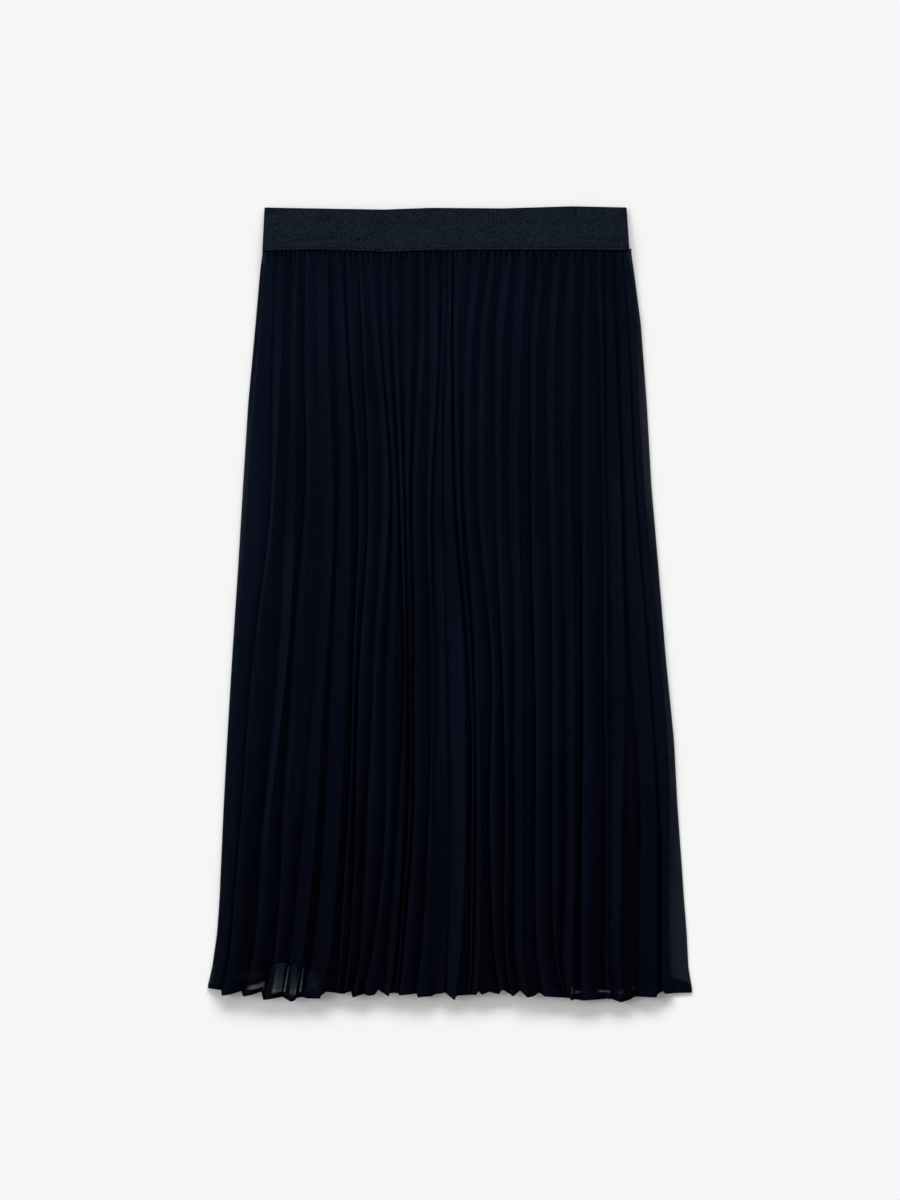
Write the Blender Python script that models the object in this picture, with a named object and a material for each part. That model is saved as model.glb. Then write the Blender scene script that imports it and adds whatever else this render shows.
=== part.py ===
"""A pleated midi skirt with a wide elastic waistband, laid flat on its back.

+Y runs up to the waist, +X to the right as seen from above, +Z away from the
surface. The origin is on the surface, under the middle of the skirt. Sizes
are in millimetres and become metres when a mesh is made.
"""
import math
from collections import namedtuple

import bmesh
import bpy

MM = 0.001

# Driving sizes
WALL = 1.0                 # thickness of each cloth layer
HEM_WALL = 1.4             # thickness of the turned hem
HEM_WIDTH = 8.0            # width of the turned hem
LAYER_GAP = 0.3            # clearance between layers that lie on each other
BAND_WALL = 2.0            # thickness of the elastic
BAND_TOP_THICKNESS = 4.6   # both layers of elastic at the free upper edge
TUCK = 6.0                 # how far the panels reach up inside the band
TUCK_SIDE = 5.0            # how much narrower the panels are inside the band
HEM_LINE = -386.0          # Y of the mean hem line
LINING_HEM = -358.0        # Y of the shorter lining's hem
LINING_TOP = 357.0         # Y of the lining's upper edge, inside the band
BAND_LINE = 350.0          # Y below which the cloth is clear of the band
FLAT_LINE = 336.0          # Y below which the back lies down on the surface
GROOVE_RUN = 60.0          # length over which the back's grooves reach full depth
GROOVE_SLOPE = 2.6         # width of a groove's sloping side
GROOVE_STEP = 1.2          # width of its steep side
MIN_PITCH = 4.4            # closest that two folds may lie
MIN_STEP = 1.2             # closest that two points of a section may lie
MITRE = 1.35               # the deepest that a valley's underside lies, in walls
WIDEST_FACE = 0.8          # most of a pitch that a fold's rising face takes
SHOULDER_SHARE = 0.55      # where on that slope its shoulder lies
PRESSED_SHOULDER = 0.7     # how high the shoulder of a pressed fold stands

# Heights of the layers above the surface
BACK_DEPTH = 2.2           # depth of the back pleats' grooves
BACK_TOP = BACK_DEPTH + 1.1 * WALL
LINING_BACK_Z = BACK_TOP + LAYER_GAP
LINING_FRONT_Z = LINING_BACK_Z + WALL + LAYER_GAP
FRONT_Z = LINING_FRONT_Z + WALL + LAYER_GAP
BAND_FRONT_Z = FRONT_Z + WALL + LAYER_GAP
BAND_THICKNESS = BAND_FRONT_Z + BAND_WALL
BACK_LIFT = BAND_WALL + LAYER_GAP
FRONT_FLOOR = FRONT_Z + MITRE * WALL
HEM_FLOOR = LINING_BACK_Z + MITRE * WALL

# How the front's sides come down over the lining's edges: in a round roll
# where they lie close outside it, and as a flat strip where they lie wide
SIDE_EDGE_Z = 1.7          # height of the front's outer face at its sides
SIDE_POINTS = 4            # points that shape each side
ROLL_STRIP = 6.5           # widest strip beside the lining that is all roll
FLAT_STRIP = 12.5          # narrowest strip that lies flat
ROLL_RISES = (2.3, 4.5)    # how high a roll's second and third point stand
FLAT_RISES = (1.0, 1.6)    # how high a flat strip's do
FIRST_IN = 0.9             # second point, in from the edge
FOOT_OUT = 3.6             # third point, out from the lining
SHOULDER_OUT = 1.0         # fourth point, out from the lining

# The skirt's sides and its lining's sides at each height
Section = namedtuple("Section", "y left right lining_left lining_right")
SECTIONS = (
    Section(350.0, -187.5, 181.3, -181.0, 174.8),
    Section(334.0, -189.7, 183.7, -183.2, 177.2),
    Section(280.0, -194.4, 190.8, -187.9, 184.0),
    Section(200.0, -201.8, 196.8, -195.0, 189.0),
    Section(118.0, -207.0, 201.4, -200.5, 194.9),
    Section(41.0, -211.6, 208.0, -205.1, 201.5),
    Section(-56.0, -218.0, 216.0, -211.5, 209.5),
    Section(-136.0, -222.8, 224.0, -216.3, 216.5),
    Section(-200.0, -226.2, 227.3, -219.7, 218.5),
    Section(-266.0, -229.2, 232.0, -222.7, 218.0),
    Section(-296.0, -230.5, 234.0, -224.0, 217.5),
    Section(-328.0, -232.8, 236.6, -226.3, 218.0),
    Section(-362.0, -237.5, 238.3, -231.0, 218.5),
    Section(-383.0, -242.0, 242.0, -235.5, 222.0),
    Section(-398.0, -242.3, 242.3, -235.8, 222.3),
)

# The front's folds, from left to right: where each fold's edge runs at six
# heights and at the hem, how far its edge and the valley right of it end
# below the hem line, the width of its rising face at the hip, the knee and
# the hem, and its share of the full rise in the upper and the lower half
LEVELS = (342.0, 254.0, 104.0, -56.0, -216.0, -346.0)
Fold = namedtuple("Fold", "waist hip thigh knee calf ankle hem "
                          "edge_drop tip_drop hip_face knee_face hem_face upper lower")
FACE_LEVELS = (300.0, -56.0, -336.0)
FOLDS = (
    Fold(-166.0, -168.5, -176.5, -195.5, -209.5, -219.5, -227.5, -0.5, 4.4, 8.0, 2.0, 1.5, 1.0, 0.8),
    Fold(-152.0, -154.0, -154.0, -163.0, -180.5, -196.0, -206.0, -1.4, 5.8, 6.0, 11.0, 1.5, 1.0, 1.0),
    Fold(-144.5, -144.0, -141.5, -150.0, -164.0, -175.0, -185.5, 2.4, 9.4, 1.5, 8.0, 1.5, 0.7, 0.8),
    Fold(-122.0, -122.0, -116.5, -124.0, -134.0, -146.0, -156.0, 11.3, 6.0, 12.0, 11.0, 13.0, 1.0, 1.0),
    Fold(-109.0, -104.0, -99.0, -103.5, -109.5, -120.0, -130.0, 9.0, 1.4, 10.0, 15.0, 18.0, 0.9, 1.0),
    Fold(-100.0, -97.0, -90.0, -96.5, -102.0, -109.5, -114.0, 3.0, 3.6, 5.0, 2.0, 2.0, 0.6, 0.45),
    Fold(-90.5, -87.5, -81.5, -90.5, -95.0, -101.0, -106.0, 2.0, 4.0, 1.5, 1.5, 1.5, 0.9, 0.8),
    Fold(-78.0, -70.5, -61.5, -72.0, -80.5, -90.0, -97.5, 2.0, 7.0, 7.0, 6.0, 1.5, 1.0, 1.0),
    Fold(-66.0, -62.0, -53.5, -56.0, -63.0, -77.0, -86.0, 4.5, -1.0, 5.0, 7.0, 1.5, 0.9, 0.6),
    Fold(-54.0, -53.5, -48.0, -46.5, -47.0, -56.0, -60.5, 6.6, 2.0, 5.0, 2.0, 7.0, 0.9, 1.0),
    Fold(-39.0, -38.5, -42.0, -41.0, -42.0, -51.0, -55.5, 4.0, 3.0, 8.0, 2.0, 2.0, 0.9, 0.3),
    Fold(-26.0, -27.0, -35.0, -35.5, -36.5, -46.0, -50.0, 4.0, 4.0, 6.0, 1.5, 1.5, 1.0, 0.9),
    Fold(-12.5, -12.5, -20.0, -19.0, -21.0, -29.0, -33.5, 4.0, 8.0, 8.0, 1.5, 1.5, 1.0, 1.0),
    Fold(-6.5, -6.5, -9.0, -5.5, -4.5, -5.5, -6.5, 2.0, 4.0, 3.0, 13.0, 10.0, 0.3, 0.6),
    Fold(-0.5, -0.5, 2.0, 13.0, 15.0, 9.5, 5.0, 9.3, 2.8, 3.0, 16.0, 12.0, 1.0, 1.0),
    Fold(8.0, 7.0, 8.5, 19.5, 22.0, 20.0, 17.0, 3.5, 3.5, 5.0, 3.0, 2.0, 0.8, 0.35),
    Fold(29.0, 21.0, 18.5, 27.5, 29.5, 29.5, 27.5, 4.0, -0.6, 7.0, 4.0, 13.0, 1.0, 0.9),
    Fold(44.0, 34.0, 33.0, 42.5, 41.5, 43.0, 49.0, 4.0, -1.0, 6.0, 4.0, 2.0, 1.0, 0.9),
    Fold(60.0, 52.0, 49.0, 54.0, 54.5, 55.5, 61.0, 5.7, -0.6, 8.0, 3.0, 2.0, 1.0, 0.8),
    Fold(76.0, 70.0, 68.0, 71.0, 72.0, 71.0, 77.5, 7.0, 1.0, 10.0, 8.0, 8.0, 1.0, 1.0),
    Fold(93.0, 85.5, 82.0, 84.5, 85.0, 86.0, 93.5, 5.4, 5.0, 6.0, 1.5, 1.5, 1.0, 0.9),
    Fold(109.5, 103.5, 103.5, 103.0, 102.5, 104.0, 113.5, 6.5, 7.0, 8.0, 3.0, 1.5, 1.0, 0.9),
    Fold(125.0, 120.0, 120.5, 123.5, 124.0, 121.0, 121.6, 9.7, 7.6, 8.0, 9.0, 9.0, 0.9, 1.0),
    Fold(139.0, 136.5, 133.5, 132.0, 131.5, 130.0, 130.5, 7.3, 7.0, 6.0, 1.5, 1.5, 0.8, 0.9),
    Fold(149.0, 151.0, 152.0, 154.0, 155.0, 155.0, 158.0, 7.0, 7.0, 4.0, 1.5, 1.5, 0.9, 0.9),
    Fold(162.0, 164.0, 170.0, 173.5, 171.0, 168.5, 172.0, 11.3, 5.7, 8.0, 14.0, 12.0, 0.9, 0.8),
    Fold(171.0, 178.0, 184.0, 197.0, 205.0, 206.0, 206.0, 7.0, 1.0, 8.0, 17.0, 18.0, 0.8, 0.8),
)
CORNER_DROP = (-1.4, 2.8)  # how far the hem's left and right corners end below the line

# How high the front's folds stand at each height
Rise = namedtuple("Rise", "y height")
RISES = (
    Rise(350.0, 0.0),
    Rise(345.0, 0.9),
    Rise(336.0, 2.0),
    Rise(290.0, 3.0),
    Rise(160.0, 3.4),
    Rise(10.0, 3.9),
    Rise(-140.0, 4.2),
    Rise(-335.0, 4.0),
    Rise(-398.0, 3.4),
)

# The waistband's wavy edges
BandEdge = namedtuple("BandEdge", "across top bottom")
BAND_EDGES = (
    BandEdge(0.00, 396.1, 352.0),
    BandEdge(0.05, 395.7, 352.6),
    BandEdge(0.16, 395.0, 353.4),
    BandEdge(0.33, 394.0, 350.9),
    BandEdge(0.46, 395.7, 352.6),
    BandEdge(0.66, 395.2, 353.0),
    BandEdge(0.85, 397.45, 353.0),
    BandEdge(1.00, 396.1, 352.6),
)
BAND_SIDES_TOP = (-185.4, 176.5)
BAND_SIDES_BOTTOM = (-187.5, 179.3)

# Heights at which the sections are drawn, down to the hem
FRONT_ROWS = (BAND_LINE + TUCK, BAND_LINE, 345.0, FLAT_LINE, 290.0, 230.0, 160.0, 85.0,
              10.0, -65.0, -140.0, -215.0, -285.0, -335.0, -362.0)
BACK_ROWS = (BAND_LINE + TUCK, BAND_LINE, FLAT_LINE, 250.0, 160.0, 60.0, -40.0, -140.0,
             -240.0, -335.0)
BACK_HEM_LINE = -379.0     # the back's hem lies hidden behind the front's
BACK_HEM_SHARE = 0.35      # of the front's zigzag


def blend(start, end, share):
    """Return the value that lies the given share of the way from start to end."""
    return start + (end - start) * share


def clamp(value, low=0.0, high=1.0):
    """Return value, kept between low and high."""
    return max(low, min(high, value))


def read_table(rows, key, column, at):
    """Read a column of a table between its rows, in straight lines."""
    places = [getattr(row, key) for row in rows]
    values = [getattr(row, column) for row in rows]
    if places[0] > places[-1]:
        places.reverse()
        values.reverse()
    at = clamp(at, places[0], places[-1])
    for i in range(1, len(places)):
        if at <= places[i]:
            share = (at - places[i - 1]) / (places[i] - places[i - 1])
            return blend(values[i - 1], values[i], share)
    return values[-1]


def smooth_through(places, values, at):
    """Read a smooth curve that runs through values at falling places."""
    if at >= places[0]:
        return values[0]
    if at <= places[-1]:
        return values[-1]
    i = next(k for k in range(1, len(places)) if at >= places[k])

    def slope(k):
        before = max(k - 1, 0)
        after = min(k + 1, len(places) - 1)
        return (values[after] - values[before]) / (places[after] - places[before])

    step = places[i] - places[i - 1]
    t = (at - places[i - 1]) / step
    start_weight = 2 * t ** 3 - 3 * t ** 2 + 1
    end_weight = 3 * t ** 2 - 2 * t ** 3
    start_slope = (t ** 3 - 2 * t ** 2 + t) * step * slope(i - 1)
    end_slope = (t ** 3 - t ** 2) * step * slope(i)
    return start_weight * values[i - 1] + end_weight * values[i] + start_slope + end_slope


def sides(y):
    """Return the skirt's left and right side and its lining's, at a height."""
    names = ("left", "right", "lining_left", "lining_right")
    return [read_table(SECTIONS, "y", name, y) for name in names]


def fold_edges(y):
    """Return where the folds' edges run at a height, kept a little apart."""
    places = LEVELS + (HEM_LINE,)
    edges = []
    for fold in FOLDS:
        values = fold[:len(LEVELS)] + (fold.hem,)
        edges.append(smooth_through(places, values, y))
    for i in range(1, len(edges)):
        edges[i] = max(edges[i], edges[i - 1] + MIN_PITCH)
    return edges


def face_width(fold, y):
    """Return how wide a fold's rising face is at a height."""
    top, middle, bottom = FACE_LEVELS
    if y > middle:
        return blend(fold.knee_face, fold.hip_face, clamp((y - middle) / (top - middle)))
    return blend(fold.knee_face, fold.hem_face, clamp((middle - y) / (middle - bottom)))


def pressed_share(y):
    """Return how far the folds are pressed together: 0 at the hip, 1 below the thigh."""
    return clamp((250.0 - y) / 270.0)


def spread(xs):
    """Keep a section's points in order and a smallest step apart."""
    for i in range(1, len(xs)):
        xs[i] = max(xs[i], xs[i - 1] + MIN_STEP)
    return xs


def offset_line(points, distance):
    """Move a section's line sideways: down for a positive distance, up for a negative."""
    normals = []
    for (x0, z0), (x1, z1) in zip(points, points[1:]):
        length = math.hypot(x1 - x0, z1 - z0)
        normals.append(((z1 - z0) / length, -(x1 - x0) / length))
    moved = []
    for i, (x, z) in enumerate(points):
        before = normals[max(i - 1, 0)]
        after = normals[min(i, len(normals) - 1)]
        nx = before[0] + after[0]
        nz = before[1] + after[1]
        length = math.hypot(nx, nz)
        reach = distance / max(length / 2.0, 0.68)
        moved.append((x + nx / length * reach, z + nz / length * reach))
    return moved


def side_points(edge, lining_edge, inward, floor, lift):
    """Return the four points that round a side over the lining's edge, outermost first."""
    strip = abs(edge - lining_edge)
    flat = clamp((strip - ROLL_STRIP) / (FLAT_STRIP - ROLL_STRIP))
    share = (floor - SIDE_EDGE_Z) / (FRONT_FLOOR - SIDE_EDGE_Z)
    shape = (
        (0.0, 0.0),
        (FIRST_IN, blend(ROLL_RISES[0], FLAT_RISES[0], flat)),
        (strip - FOOT_OUT, blend(ROLL_RISES[1], FLAT_RISES[1], flat)),
        (strip - SHOULDER_OUT, FRONT_FLOOR - SIDE_EDGE_Z),
    )
    return [(edge + inward * away, SIDE_EDGE_Z + lift + up * share * (1 - lift / FRONT_FLOOR))
            for away, up in shape]


def front_section(y, floor, rise, lift):
    """Return the front's outer line at a height, and each point's drop at the hem.

    Each fold has three points: the shoulder of the slope that runs down from
    the fold before, the valley, and its own sharp edge at the top of its face.
    """
    left, right, lining_left, lining_right = sides(y)
    edges = fold_edges(y)
    pressed = pressed_share(y)
    start = side_points(left, lining_left, 1.0, floor, lift)
    end = side_points(right, lining_right, -1.0, floor, lift)[::-1]
    points = list(start)
    drops = [CORNER_DROP[0]] * len(start)
    before = start[-1][0]
    height_before = 0.0
    edge_drop_before = CORNER_DROP[0]
    drop_before = CORNER_DROP[0]
    for fold, edge in zip(FOLDS, edges):
        pitch = edge - before
        height = rise * blend(fold.upper, fold.lower, pressed)
        gap = pitch - min(face_width(fold, y), WIDEST_FACE * pitch)
        shoulder = before + max(MIN_STEP, SHOULDER_SHARE * gap)
        valley = max(before + gap, shoulder + MIN_STEP)
        shoulder_height = height_before * blend(1.0 - SHOULDER_SHARE, PRESSED_SHOULDER, pressed)
        shoulder_drop = blend(edge_drop_before, drop_before, SHOULDER_SHARE)
        points += [(shoulder, floor + shoulder_height), (valley, floor), (edge, floor + height)]
        drops += [shoulder_drop, drop_before, fold.edge_drop]
        before = edge
        height_before = height
        edge_drop_before = fold.edge_drop
        drop_before = fold.tip_drop
    valley = before + max(MIN_STEP, 0.3 * (end[0][0] - before))
    points += [(valley, floor)] + end
    drops += [drop_before] + [CORNER_DROP[1]] * len(end)
    xs = spread([x for x, _ in points])
    extra = max(xs[-1] - right, 0.0)
    xs = [x - extra * i / (len(xs) - 1) for i, x in enumerate(xs)]
    return [(x, z) for x, (_, z) in zip(xs, points)], drops


def flat_section(section, level):
    """Flatten a section between the band's layers: same points, even height."""
    left, right = BAND_SIDES_BOTTOM
    left += TUCK_SIDE
    right -= TUCK_SIDE
    first = section[0][0]
    last = section[-1][0]
    scale = (right - left) / (last - first)
    return [(left + (x - first) * scale, level) for x, _ in section]


def front_grids():
    """Return the front's outer and inner points, row by row from waist to hem."""
    outer = []
    inner = []
    for y in FRONT_ROWS:
        if y >= BAND_LINE:
            line, _ = front_section(BAND_LINE, FRONT_FLOOR, 0.0, 0.0)
            line = flat_section(line, FRONT_Z + WALL)
            under = [(x, FRONT_Z) for x, _ in line]
        else:
            rise = read_table(RISES, "y", "height", y)
            lift = BACK_LIFT * clamp((y - FLAT_LINE) / (BAND_LINE - FLAT_LINE))
            line, _ = front_section(y, FRONT_FLOOR, rise, lift)
            under = rest_on(line, offset_line(line, WALL), FRONT_Z, lift)
        outer.append([(x, y, z) for x, z in line])
        inner.append([(x, y, z) for x, z in under])
    for above, wall in ((HEM_WIDTH + 1.0, WALL), (HEM_WIDTH, HEM_WALL), (0.0, HEM_WALL)):
        y = HEM_LINE + above
        rise = read_table(RISES, "y", "height", y)
        line, drops = front_section(y, HEM_FLOOR, rise, 0.0)
        under = rest_on(line, offset_line(line, WALL), LINING_BACK_Z, 0.0)
        proud = wall - WALL
        outer.append([(x, y - drop, z + proud) for (x, z), drop in zip(line, drops)])
        inner.append([(x, y - drop, z) for (x, z), drop in zip(under, drops)])
    return outer, inner


def rest_on(line, under, lowest, lift):
    """Keep the inner line of the front above what it lies on: the back at its sides."""
    last = len(line) - SIDE_POINTS
    side_lowest = WALL + LAYER_GAP + lift
    return [(x, max(z, lowest if SIDE_POINTS <= i < last else side_lowest))
            for i, (x, z) in enumerate(under)]


def back_section(y, depth):
    """Return the back's lower line at a height: flat strips with a groove at each fold.

    The back's folds are the front's in mirror order. Beside the lining the
    back lies flat.
    """
    left, right, lining_left, lining_right = sides(y)
    edges = fold_edges(y)
    inner_left = lining_left + 2.0
    inner_right = lining_right - 2.0
    span = right - left
    points = [(left, 0.0), (inner_left, 0.0)]
    drops = [CORNER_DROP[0], CORNER_DROP[0]]
    for fold, edge in reversed(list(zip(FOLDS, edges))):
        share = (right - edge) / span
        x = blend(inner_left, inner_right, share)
        points += [(x - GROOVE_SLOPE, 0.0), (x, depth), (x + GROOVE_STEP, 0.0)]
        drops += [fold.edge_drop, fold.edge_drop, fold.tip_drop]
    points += [(inner_right, 0.0), (right, 0.0)]
    drops += [CORNER_DROP[1], CORNER_DROP[1]]
    return points, drops


def back_line(y, depth):
    """Return a back section whose points keep their order, and their drops."""
    points, drops = back_section(y, depth)
    xs = spread([x for x, _ in points])
    extra = max(xs[-1] - points[-1][0], 0.0)
    xs = [x - extra * i / (len(xs) - 1) for i, x in enumerate(xs)]
    return [(x, z) for x, (_, z) in zip(xs, points)], drops


def back_grids():
    """Return the back's outer, lower points and its inner, upper points."""
    outer = []
    inner = []
    for y in BACK_ROWS:
        if y >= BAND_LINE:
            line, _ = back_line(BAND_LINE, 0.0)
            line = flat_section(line, BACK_LIFT)
            over = [(x, BACK_LIFT + WALL) for x, _ in line]
        else:
            depth = BACK_DEPTH * clamp((BAND_LINE - y) / GROOVE_RUN, 0.4, 1.0)
            line, _ = back_line(y, depth)
            over = [(x, min(z, BACK_TOP)) for x, z in offset_line(line, -WALL)]
        outer.append([(x, y, z) for x, z in line])
        inner.append([(x, y, z) for x, z in over])
    for above in (HEM_WIDTH, 0.0):
        y = BACK_HEM_LINE + above
        line, drops = back_line(y, BACK_DEPTH)
        over = [(x, min(z, BACK_TOP)) for x, z in offset_line(line, -WALL)]
        drops = [drop * BACK_HEM_SHARE for drop in drops]
        outer.append([(x, y - drop, z) for (x, z), drop in zip(line, drops)])
        inner.append([(x, y - drop, z) for (x, z), drop in zip(over, drops)])
    return outer, inner


def lining_grids(level):
    """Return a lining panel's upper and lower points: a flat wall at a level."""
    heights = [LINING_TOP, BAND_LINE]
    heights += [row.y for row in SECTIONS if LINING_HEM < row.y < BAND_LINE]
    heights.append(LINING_HEM)
    upper = []
    lower = []
    columns = 6
    for y in heights:
        _, _, left, right = sides(y)
        if y >= BAND_LINE:
            left, right = BAND_SIDES_BOTTOM
            left += TUCK_SIDE + 1.5
            right -= TUCK_SIDE + 1.5
        xs = [blend(left, right, k / columns) for k in range(columns + 1)]
        upper.append([(x, y, level + WALL) for x in xs])
        lower.append([(x, y, level) for x in xs])
    return upper, lower


def close_wall(upper, lower):
    """Return the vertices and faces of a wall between two grids of points."""
    rows = len(upper)
    columns = len(upper[0])
    vertices = [point for row in upper + lower for point in row]

    def top(i, j):
        return i * columns + j

    def under(i, j):
        return rows * columns + top(i, j)

    faces = []
    for i in range(rows - 1):
        for j in range(columns - 1):
            faces.append((top(i, j), top(i + 1, j), top(i + 1, j + 1), top(i, j + 1)))
            faces.append((under(i, j), under(i, j + 1), under(i + 1, j + 1), under(i + 1, j)))
        for j in (0, columns - 1):
            faces.append((top(i, j), top(i + 1, j), under(i + 1, j), under(i, j)))
    for i in (0, rows - 1):
        for j in range(columns - 1):
            faces.append((top(i, j), top(i, j + 1), under(i, j + 1), under(i, j)))
    return vertices, faces


def band_loop(y_share, inset, steps=26, turn_steps=4):
    """Return one loop round the flattened band, in from its outer face by inset."""
    left = blend(BAND_SIDES_BOTTOM[0], BAND_SIDES_TOP[0], y_share)
    right = blend(BAND_SIDES_BOTTOM[1], BAND_SIDES_TOP[1], y_share)
    slack = clamp((y_share - 0.2) / 0.6)
    slack = slack * slack * (3.0 - 2.0 * slack)
    thickness = blend(BAND_THICKNESS, BAND_TOP_THICKNESS, slack)
    middle = thickness / 2.0
    radius = middle - inset
    turn_left = left + middle
    turn_right = right - middle
    loop = []
    for k in range(steps + 1):
        loop.append((blend(turn_left, turn_right, k / steps), middle + radius))
    for k in range(1, turn_steps):
        angle = math.pi * k / turn_steps
        loop.append((turn_right + radius * math.sin(angle), middle + radius * math.cos(angle)))
    for k in range(steps + 1):
        loop.append((blend(turn_right, turn_left, k / steps), middle - radius))
    for k in range(1, turn_steps):
        angle = math.pi * k / turn_steps
        loop.append((turn_left - radius * math.sin(angle), middle - radius * math.cos(angle)))
    points = []
    for x, z in loop:
        across = clamp((x - left) / (right - left))
        low = read_table(BAND_EDGES, "across", "bottom", across)
        high = read_table(BAND_EDGES, "across", "top", across)
        points.append((x, blend(low, high, y_share), z))
    return points


def band_mesh():
    """Return the vertices and faces of the waistband's flattened ring."""
    shares = (0.0, 0.2, 0.4, 0.6, 0.8, 1.0)
    loops = [band_loop(share, 0.0) for share in shares]
    loops += [band_loop(share, BAND_WALL) for share in reversed(shares)]
    count = len(loops[0])
    vertices = [point for loop in loops for point in loop]
    faces = []
    for i in range(len(loops)):
        following = (i + 1) % len(loops)
        for j in range(count):
            beside = (j + 1) % count
            faces.append((i * count + j, i * count + beside,
                          following * count + beside, following * count + j))
    return vertices, faces


def cloth_material(name, colour, roughness):
    """Return a Principled material with one colour and roughness."""
    material = bpy.data.materials.new(name)
    material.use_nodes = True
    shader = material.node_tree.nodes["Principled BSDF"]
    shader.inputs["Base Color"].default_value = (*colour, 1.0)
    shader.inputs["Roughness"].default_value = roughness
    shader.inputs["Metallic"].default_value = 0.0
    return material


def add_piece(name, shape, material):
    """Make an object from vertices in millimetres and faces, turned outwards."""
    vertices, faces = shape
    mesh = bpy.data.meshes.new(name)
    mesh.from_pydata([(x * MM, y * MM, z * MM) for x, y, z in vertices], [], faces)
    shell = bmesh.new()
    shell.from_mesh(mesh)
    bmesh.ops.triangulate(shell, faces=shell.faces)
    bmesh.ops.recalc_face_normals(shell, faces=shell.faces)
    shell.to_mesh(mesh)
    shell.free()
    mesh.materials.append(material)
    piece = bpy.data.objects.new(name, mesh)
    bpy.context.scene.collection.objects.link(piece)
    return piece


for old in list(bpy.data.objects):
    bpy.data.objects.remove(old)

chiffon = cloth_material("navy_chiffon", (0.004, 0.006, 0.014), 0.75)
lining_cloth = cloth_material("navy_lining", (0.003, 0.003, 0.008), 0.7)
satin_elastic = cloth_material("navy_satin_elastic", (0.008, 0.012, 0.019), 0.45)

add_piece("waistband", band_mesh(), satin_elastic)
add_piece("outer_front", close_wall(*front_grids()), chiffon)
add_piece("outer_back", close_wall(*back_grids()), chiffon)
add_piece("lining_front", close_wall(*lining_grids(LINING_FRONT_Z)), lining_cloth)
add_piece("lining_back", close_wall(*lining_grids(LINING_BACK_Z)), lining_cloth)
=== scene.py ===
"""The looks of a navy pleated midi skirt with a wide elastic waistband, laid flat.

Sizes are in millimetres, as a maker would state them, and become metres when
a mesh is made. +Y runs up to the waist and +Z away from the surface.
"""

import logging
import math
from dataclasses import dataclass, field
from enum import Enum
from typing import NamedTuple, Sequence

import bmesh
import bpy
import numpy as np
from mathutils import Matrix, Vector


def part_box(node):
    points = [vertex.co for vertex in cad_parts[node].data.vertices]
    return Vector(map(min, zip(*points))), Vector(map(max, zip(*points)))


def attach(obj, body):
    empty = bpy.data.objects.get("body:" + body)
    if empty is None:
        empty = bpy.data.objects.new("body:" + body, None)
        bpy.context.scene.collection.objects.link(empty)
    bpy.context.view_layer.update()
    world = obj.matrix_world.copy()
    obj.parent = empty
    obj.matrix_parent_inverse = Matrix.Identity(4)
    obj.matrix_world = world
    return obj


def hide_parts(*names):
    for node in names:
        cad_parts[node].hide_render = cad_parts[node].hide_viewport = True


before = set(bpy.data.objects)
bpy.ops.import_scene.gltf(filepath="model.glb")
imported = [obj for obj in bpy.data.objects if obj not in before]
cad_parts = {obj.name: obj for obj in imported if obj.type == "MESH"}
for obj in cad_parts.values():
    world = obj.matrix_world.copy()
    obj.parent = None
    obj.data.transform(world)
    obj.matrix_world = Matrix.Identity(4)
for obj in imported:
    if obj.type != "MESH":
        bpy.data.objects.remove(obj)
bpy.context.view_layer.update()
BODY = "root"
MM = 0.001

logging.basicConfig(level=logging.INFO, format="%(message)s")
log = logging.getLogger("skirt")


class Section(NamedTuple):
    """The skirt's sides, and its lining's, at one height."""

    y: float
    left: float
    right: float
    lining_left: float
    lining_right: float


class Fold(NamedTuple):
    """One fold of the front.

    Where its edge runs at six heights and at the hem, how far the back's hem
    drops at the fold and just past it, the width of its rising face at the hip,
    the knee and the hem, and its share of the full rise in the upper and the
    lower half. The front's hem has its own table, HEM_POINTS.
    """

    waist: float
    hip: float
    thigh: float
    knee: float
    calf: float
    ankle: float
    hem: float
    edge_drop: float
    tip_drop: float
    hip_face: float
    knee_face: float
    hem_face: float
    upper: float
    lower: float


class Rise(NamedTuple):
    """How high the front's folds stand at one height."""

    y: float
    height: float


class BandEdge(NamedTuple):
    """The waistband's upper and lower edge at a share of its width."""

    across: float
    top: float
    bottom: float


class HemPoint(NamedTuple):
    """A corner of the front's hem, and how far it ends below the hem line."""

    x: float
    drop: float


class FineFold(NamedTuple):
    """A fold with a finer mesh, and its steps down the slope, at its foot and up its face."""

    fold: int
    slope: int
    foot: int
    face: int


class ThinPatch(NamedTuple):
    """A stretch near the hem where few layers let the surface show through.

    Its top may rise to the right, and it has its own number of layers at the
    top and at the bottom.
    """

    left: float
    right: float
    top: float
    bottom: float
    slant: float
    rise: float
    upper: float
    lower: float


class SheerStrip(NamedTuple):
    """How many layers of chiffon lie outside the lining at each side, at one height."""

    y: float
    left: float
    right: float


class Shade(NamedTuple):
    """How light the lit faces are at one height, and how light the valleys stay."""

    y: float
    level: float
    valley: float


class Gleam(NamedTuple):
    """A fold whose lit face is lighter than the others for some way."""

    fold: int
    top: float
    bottom: float
    extra: float


class ValleyShade(NamedTuple):
    """A valley painted in deeper shade than the others for some way, or painted lighter below 0."""

    fold: int
    top: float
    bottom: float
    darker: float


class Wrinkle(NamedTuple):
    """A soft dent that lies across the waistband, from its middle point, with painted shade in it."""

    x: float
    y: float
    half_length: float
    half_width: float
    depth: float


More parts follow.
